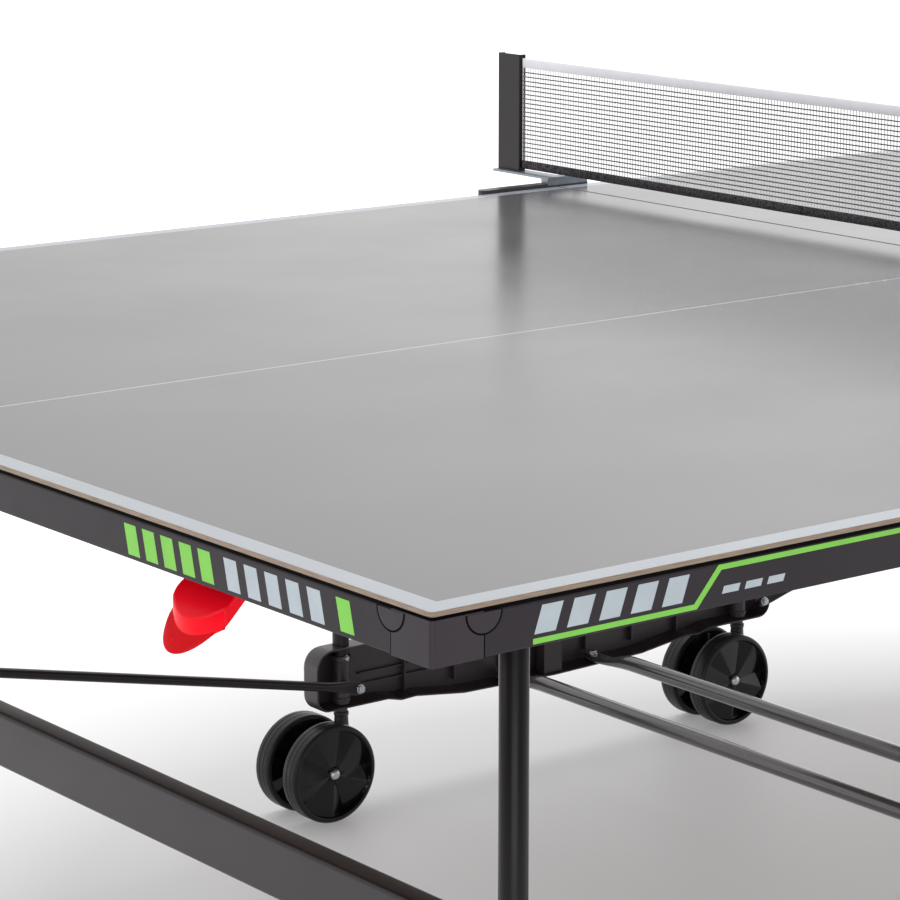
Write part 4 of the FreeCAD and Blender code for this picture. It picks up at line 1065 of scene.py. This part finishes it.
def make_fork(side, half):
    """A caster fork: neck, shoulder and arm between the wheels, with its axle caps."""
    node = f"caster_fork_{side}_{half}"
    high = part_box(node)[1]
    stem_x = HALVES[half] * POST_X
    stem_y = SIDES[side] * POST_Y
    wheel_low, wheel_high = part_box(f"wheel_{side}_{half}_a")
    axle_x = 0.5 * (wheel_low.x + wheel_high.x)
    axle_z = WHEEL_RADIUS
    bm = bmesh.new()
    neck = in_metres((68, 8.5), (72, 10), (104, 10), (112, 9.2), (122, 8.6), (123, 9.6), (127, 9.6),
                     (128, 8), (136, 7.6))
    neck += [(high.z - 40 * MM, 6 * MM), (high.z, 6 * MM)]
    lathe(bm, (stem_x, stem_y, 0), "z", neck, 32)
    front = axle_x - 12 * MM
    upper = axle_z + 30 * MM
    body = rounded([(front, axle_z - 12 * MM, 11 * MM), (stem_x + 2 * MM, axle_z - 8 * MM, 10 * MM),
                    (stem_x + 2 * MM, upper, 8 * MM), (stem_x - 14 * MM, upper, 10 * MM),
                    (front, axle_z + 13 * MM, 11 * MM)], 6)
    extrude(bm, [(z, x) for x, z in body], "y", stem_y - 9 * MM, stem_y + 9 * MM)
    piece(f"caster_body_{side}_{half}", bm, f"caster_{side}_{half}",
          "black_plastic", node, bevel=0.9 * MM, segments=3, angle=40)
    caps = bmesh.new()
    for facing in (-1, 1):
        face = stem_y + facing * (29 + 14) * MM
        dome = [(-3 * MM * facing, 7 * MM), (-1.2 * MM * facing, 7.2 * MM), (0.6 * MM * facing, 6.2 * MM),
                (1.8 * MM * facing, 4.4 * MM), (2.4 * MM * facing, 2 * MM)]
        lathe(caps, (axle_x, face, axle_z), "y", dome, 24)
    lathe(caps, (axle_x, stem_y, axle_z), "y", [(-41 * MM, 4 * MM), (41 * MM, 4 * MM)], 20)
    piece(f"axle_{side}_{half}", caps, f"caster_{side}_{half}", "zinc", angle=40)


def make_pedal(half):
    """A brake pedal with a ribbed, turned-up toe."""
    low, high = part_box(f"brake_pedal_{half}")
    bm = bmesh.new()
    middle = (low.y + high.y) / 2
    profile = rounded([(low.x, low.z + 7 * MM, 2 * MM), (low.x + 3 * MM, low.z + 4 * MM, 2 * MM),
                       (high.x - 14 * MM, low.z + 3 * MM, 3 * MM), (high.x - 8 * MM, low.z, 4 * MM),
                       (high.x, low.z + 4 * MM, 4 * MM), (high.x - 1 * MM, high.z, 4 * MM),
                       (high.x - 12 * MM, high.z, 3 * MM), (low.x + 4 * MM, high.z - 2 * MM, 2 * MM)], 5)
    extrude(bm, [(z, x) for x, z in profile], "y", low.y, high.y)
    for rib in range(4):
        x = low.x + (8 + 6 * rib) * MM
        bevelled_box(bm, (x, middle - 8 * MM, high.z - 4 * MM),
                     (x + 2 * MM, middle + 8 * MM, high.z - 0.4 * MM))
    piece(f"foot_brake_{half}", bm, f"brake_{half}", "red_plastic", f"brake_pedal_{half}",
          bevel=0.6 * MM, segments=2, angle=45)


# ---------------------------------------------------------------- net

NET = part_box("net_sheet")
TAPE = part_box("net_top_tape")
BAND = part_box("net_bottom_band")
ROWS = 20
PITCH = 5 * MM
LEVEL_THREAD = (0.82 * MM, 0.45 * MM)
UPRIGHT_THREAD = (0.95 * MM, 0.3 * MM)
THREAD_SHAPE = ((-1, -0.4), (-0.5, -1), (0.5, -1), (1, -0.4), (1, 0.4), (0.5, 1), (-0.5, 1), (-1, 0.4))


def slack(y, z):
    """How far the net swings out of its plane, which is most at the foot and none at the posts."""
    share = 1 - (y / NET[1].y) ** 2
    foot = (TAPE[1].z - z) / (TAPE[1].z - BAND[0].z)
    return share * (1.6 * MM * foot * math.sin(9 * y) + 0.5 * MM * foot * math.sin(31 * y + 1))


def thread(bm, points, size, material):
    """A flat thread through points, as half of its width and half of its thickness."""
    rings = []
    for index, point in enumerate(points):
        before = points[max(0, index - 1)]
        after = points[min(len(points) - 1, index + 1)]
        along = (after - before).normalized()
        wide = along.cross(Vector((1, 0, 0))).normalized() * size[0]
        thick = along.cross(wide).normalized() * size[1]
        rings.append([point + wide * across + thick * out for across, out in THREAD_SHAPE])
    loft(bm, rings, material=material)


def make_net():
    """Woven mesh of dark level threads and pale upright ones, a white tape and a dark foot band."""
    bm = bmesh.new()
    reach = NET[1].y - 1 * MM
    pitch = (NET[1].z - NET[0].z) / (ROWS + 1)
    stations = [-reach + 2 * reach * step / 56 for step in range(57)]
    for row in range(ROWS):
        z = NET[0].z + pitch * (row + 1)
        thread(bm, [Vector((slack(y, z), y, z)) for y in stations], LEVEL_THREAD, 0)
    count = int(2 * reach / PITCH)
    for column in range(count + 1):
        y = -reach + 2 * reach * column / count
        levels = [NET[0].z - 2 * MM, 0.5 * (NET[0].z + NET[1].z), NET[1].z + 2 * MM]
        thread(bm, [Vector((slack(y, z), y, z)) for z in levels], UPRIGHT_THREAD, 1)
    mesh = piece("net_mesh", bm, "carriage", ["dark_thread", "pale_thread"], "net_sheet")
    for name, box, finish, slot, node, depth in (
            ("net_tape", TAPE, "white_tape", "white_tape", "net_top_tape", 1.1 * MM),
            ("net_band", BAND, "dark_band", "dark_band", "net_bottom_band", 1.2 * MM)):
        ribbon = bmesh.new()
        rings = []
        for step in range(169):
            y = -reach + 2 * reach * step / 168
            ring = []
            for up, out in ((0, 0.5), (0.06, 0.9), (0.5, 1.0), (0.94, 0.9), (1, 0.5),
                            (1, -0.5), (0.94, -0.9), (0.5, -1.0), (0.06, -0.9), (0, -0.5)):
                z = box[0].z + up * (box[1].z - box[0].z)
                ripple = 0.25 * MM * math.sin(47 * y + 2 * up) if finish == "dark_band" else 0
                ring.append(Vector((slack(y, z) + out * depth + ripple, y, z)))
            rings.append(ring)
        loft(ribbon, rings)
        piece(name, ribbon, "carriage", finish, node, angle=70)


def make_net_posts():
    """Folded posts with short flanges at each end of the net."""
    low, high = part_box("net_posts")
    flange = high.x
    wall = 3 * MM
    inner = NET[1].y
    outer = high.y
    bm = bmesh.new()
    for side in (-1, 1):
        outline = rounded([
            (-flange, outer, 1.6 * MM), (flange, outer, 0.5 * MM), (flange, outer - wall, 0.5 * MM),
            (-flange + wall, outer - wall, 1.2 * MM), (-flange + wall, inner + wall, 1.2 * MM),
            (flange, inner + wall, 0.5 * MM), (flange, inner, 0.5 * MM), (-flange, inner, 1.6 * MM)], 4)
        extrude(bm, [(x, side * y) for x, y in outline], "z", low.z, high.z)
    piece("net_end_posts", bm, "carriage", "tube_paint", "net_posts",
          bevel=0.3 * MM, angle=50)


# ---------------------------------------------------------------- stage, light and camera

CAMERA_PLACE = Vector((-2.6661, -2.4562, 1.3429))
CAMERA_AZIMUTH = math.radians(37.765)
CAMERA_DIP = math.radians(12.483)
CAMERA_LENS = 132.77


def make_camera():
    """The camera, looking down a little along the table from its near left corner."""
    data = bpy.data.cameras.new("camera")
    data.lens = CAMERA_LENS
    data.sensor_width = 36
    data.clip_start = 0.1
    data.clip_end = 200
    item = bpy.data.objects.new("camera", data)
    forward = Vector((math.sin(CAMERA_AZIMUTH) * math.cos(CAMERA_DIP),
                      math.cos(CAMERA_AZIMUTH) * math.cos(CAMERA_DIP), -math.sin(CAMERA_DIP)))
    right = Vector((math.cos(CAMERA_AZIMUTH), -math.sin(CAMERA_AZIMUTH), 0))
    up = right.cross(forward)
    turn = Matrix((right, up, -forward)).transposed().to_4x4()
    item.matrix_world = Matrix.Translation(CAMERA_PLACE) @ turn
    bpy.context.scene.collection.objects.link(item)
    bpy.context.scene.camera = item


def area_light(name, place, target, size, power):
    """A soft rectangular light aimed at a point."""
    data = bpy.data.lights.new(name, "AREA")
    data.shape = "RECTANGLE"
    data.size, data.size_y = size
    data.energy = power
    item = bpy.data.objects.new(name, data)
    item.location = place
    item.rotation_mode = "QUATERNION"
    item.rotation_quaternion = (Vector(target) - Vector(place)).to_track_quat("-Z", "Y")
    bpy.context.scene.collection.objects.link(item)


def make_floor():
    """A large pale floor with painted light: a glow that grows with distance from the table, so it fades
    to white far away.
    """
    bm = bmesh.new()
    bmesh.ops.create_circle(bm, cap_ends=True, segments=96, radius=60)
    mesh = bpy.data.meshes.new("floor")
    bm.to_mesh(mesh)
    bm.free()
    floor = bpy.data.objects.new("floor", mesh)
    bpy.context.scene.collection.objects.link(floor)
    finish = Finish("floor", (0.405, 0.4, 0.406, 1), 0.5, specular=0.2)
    distance = finish.node("ShaderNodeVectorMath")
    distance.operation = "DISTANCE"
    distance.inputs[1].default_value = (-0.15, 0.15, 0)
    finish.links.new(finish.place, distance.inputs[0])
    # Painted light: the glow is weak near the table, leaving painted shade there, and strong far off.
    painted_glow = finish.spread(distance.outputs["Value"], 0.22, 1.0, 0.85, 2.1)
    finish.links.new(painted_glow, finish.shader.inputs["Emission Strength"])
    finish.shader.inputs["Emission Color"].default_value = (1, 1, 1, 1)
    mesh.materials.append(finish.material)


def brightness_along(tree, heading, limits):
    """A brightness that changes with how far a direction of the room points along a heading."""
    direction = tree.nodes.new("ShaderNodeTexCoord")
    facing = tree.nodes.new("ShaderNodeVectorMath")
    facing.operation = "DOT_PRODUCT"
    facing.inputs[1].default_value = heading
    level = tree.nodes.new("ShaderNodeMapRange")
    for key, value in zip(("From Min", "From Max", "To Min", "To Max"), limits):
        level.inputs[key].default_value = value
    tree.links.new(direction.outputs["Generated"], facing.inputs[0])
    tree.links.new(facing.outputs["Value"], level.inputs["Value"])
    return level.outputs["Result"]


def make_light():
    """A white room with one broad light above and softer ones in front and on the left."""
    world = bpy.data.worlds.new("studio")
    bpy.context.scene.world = world
    world.use_nodes = True
    tree = world.node_tree
    background = tree.nodes["Background"]
    background.inputs["Color"].default_value = (1, 1, 1, 1)
    sine, cosine = math.sin(CAMERA_AZIMUTH), math.cos(CAMERA_AZIMUTH)
    product = tree.nodes.new("ShaderNodeMath")
    product.operation = "MULTIPLY"
    ahead = brightness_along(tree, (sine, cosine, 0.35), (-0.45, 0.3, 0.3, 1.0))
    sideways = brightness_along(tree, (cosine, -sine, 0), (-0.16, 0.16, 1.0, 1.45))
    tree.links.new(ahead, product.inputs[0])
    tree.links.new(sideways, product.inputs[1])
    tree.links.new(product.outputs["Value"], background.inputs["Strength"])
    area_light("front_fill", (-2.3, -2.45, 0.75), (-0.3, 0.5, 0.2), (1.5, 0.9), 12.5)
    area_light("overhead", (0.2, 0.6, 3.4), (0, 0, 0.7), (3.5, 3.0), 60)
    area_light("left_side", (-3.6, 0.6, 2.0), (-1.0, -0.4, 0.5), (2.0, 2.0), 26)
    bpy.context.scene.view_settings.view_transform = "Standard"


# ---------------------------------------------------------------- assembly

for half, sign in HALVES.items():
    make_top(half, sign)
    make_end_apron(half, sign)
    make_side_aprons(half, sign)
    make_gap_shadow_strip(half, sign)
    make_corner_pieces(half, sign)
    make_marks(half, sign)
    make_legs(half, sign)
    make_link_rods(half, sign)
    make_pedal(half)
    carry_over(f"inner_rail_{half}", "apron_paint")
    carry_over(f"stiffening_braces_{half}", "tube_paint")
    carry_over(f"fold_brackets_{half}", "tube_paint")
    carry_over(f"leg_hinge_brackets_{half}", "black_plastic")
    for side in SIDES:
        make_lever(side, half)
        make_foot(side, half)
        make_fork(side, half)
        for edge in ("a", "b"):
            make_wheel(side, half, edge)
make_beams()
make_uprights()
make_cross_tubes()
make_pins_and_bolts()
make_net()
make_net_posts()
carry_over("net_brackets", "black_plastic", 0.0012)
carry_over("net_base_arms", "dull_steel", 0.0005)
for side in SIDES:
    carry_over(f"net_clamp_screw_{side}", "zinc", 0.0006)
make_floor()
make_light()
make_camera()
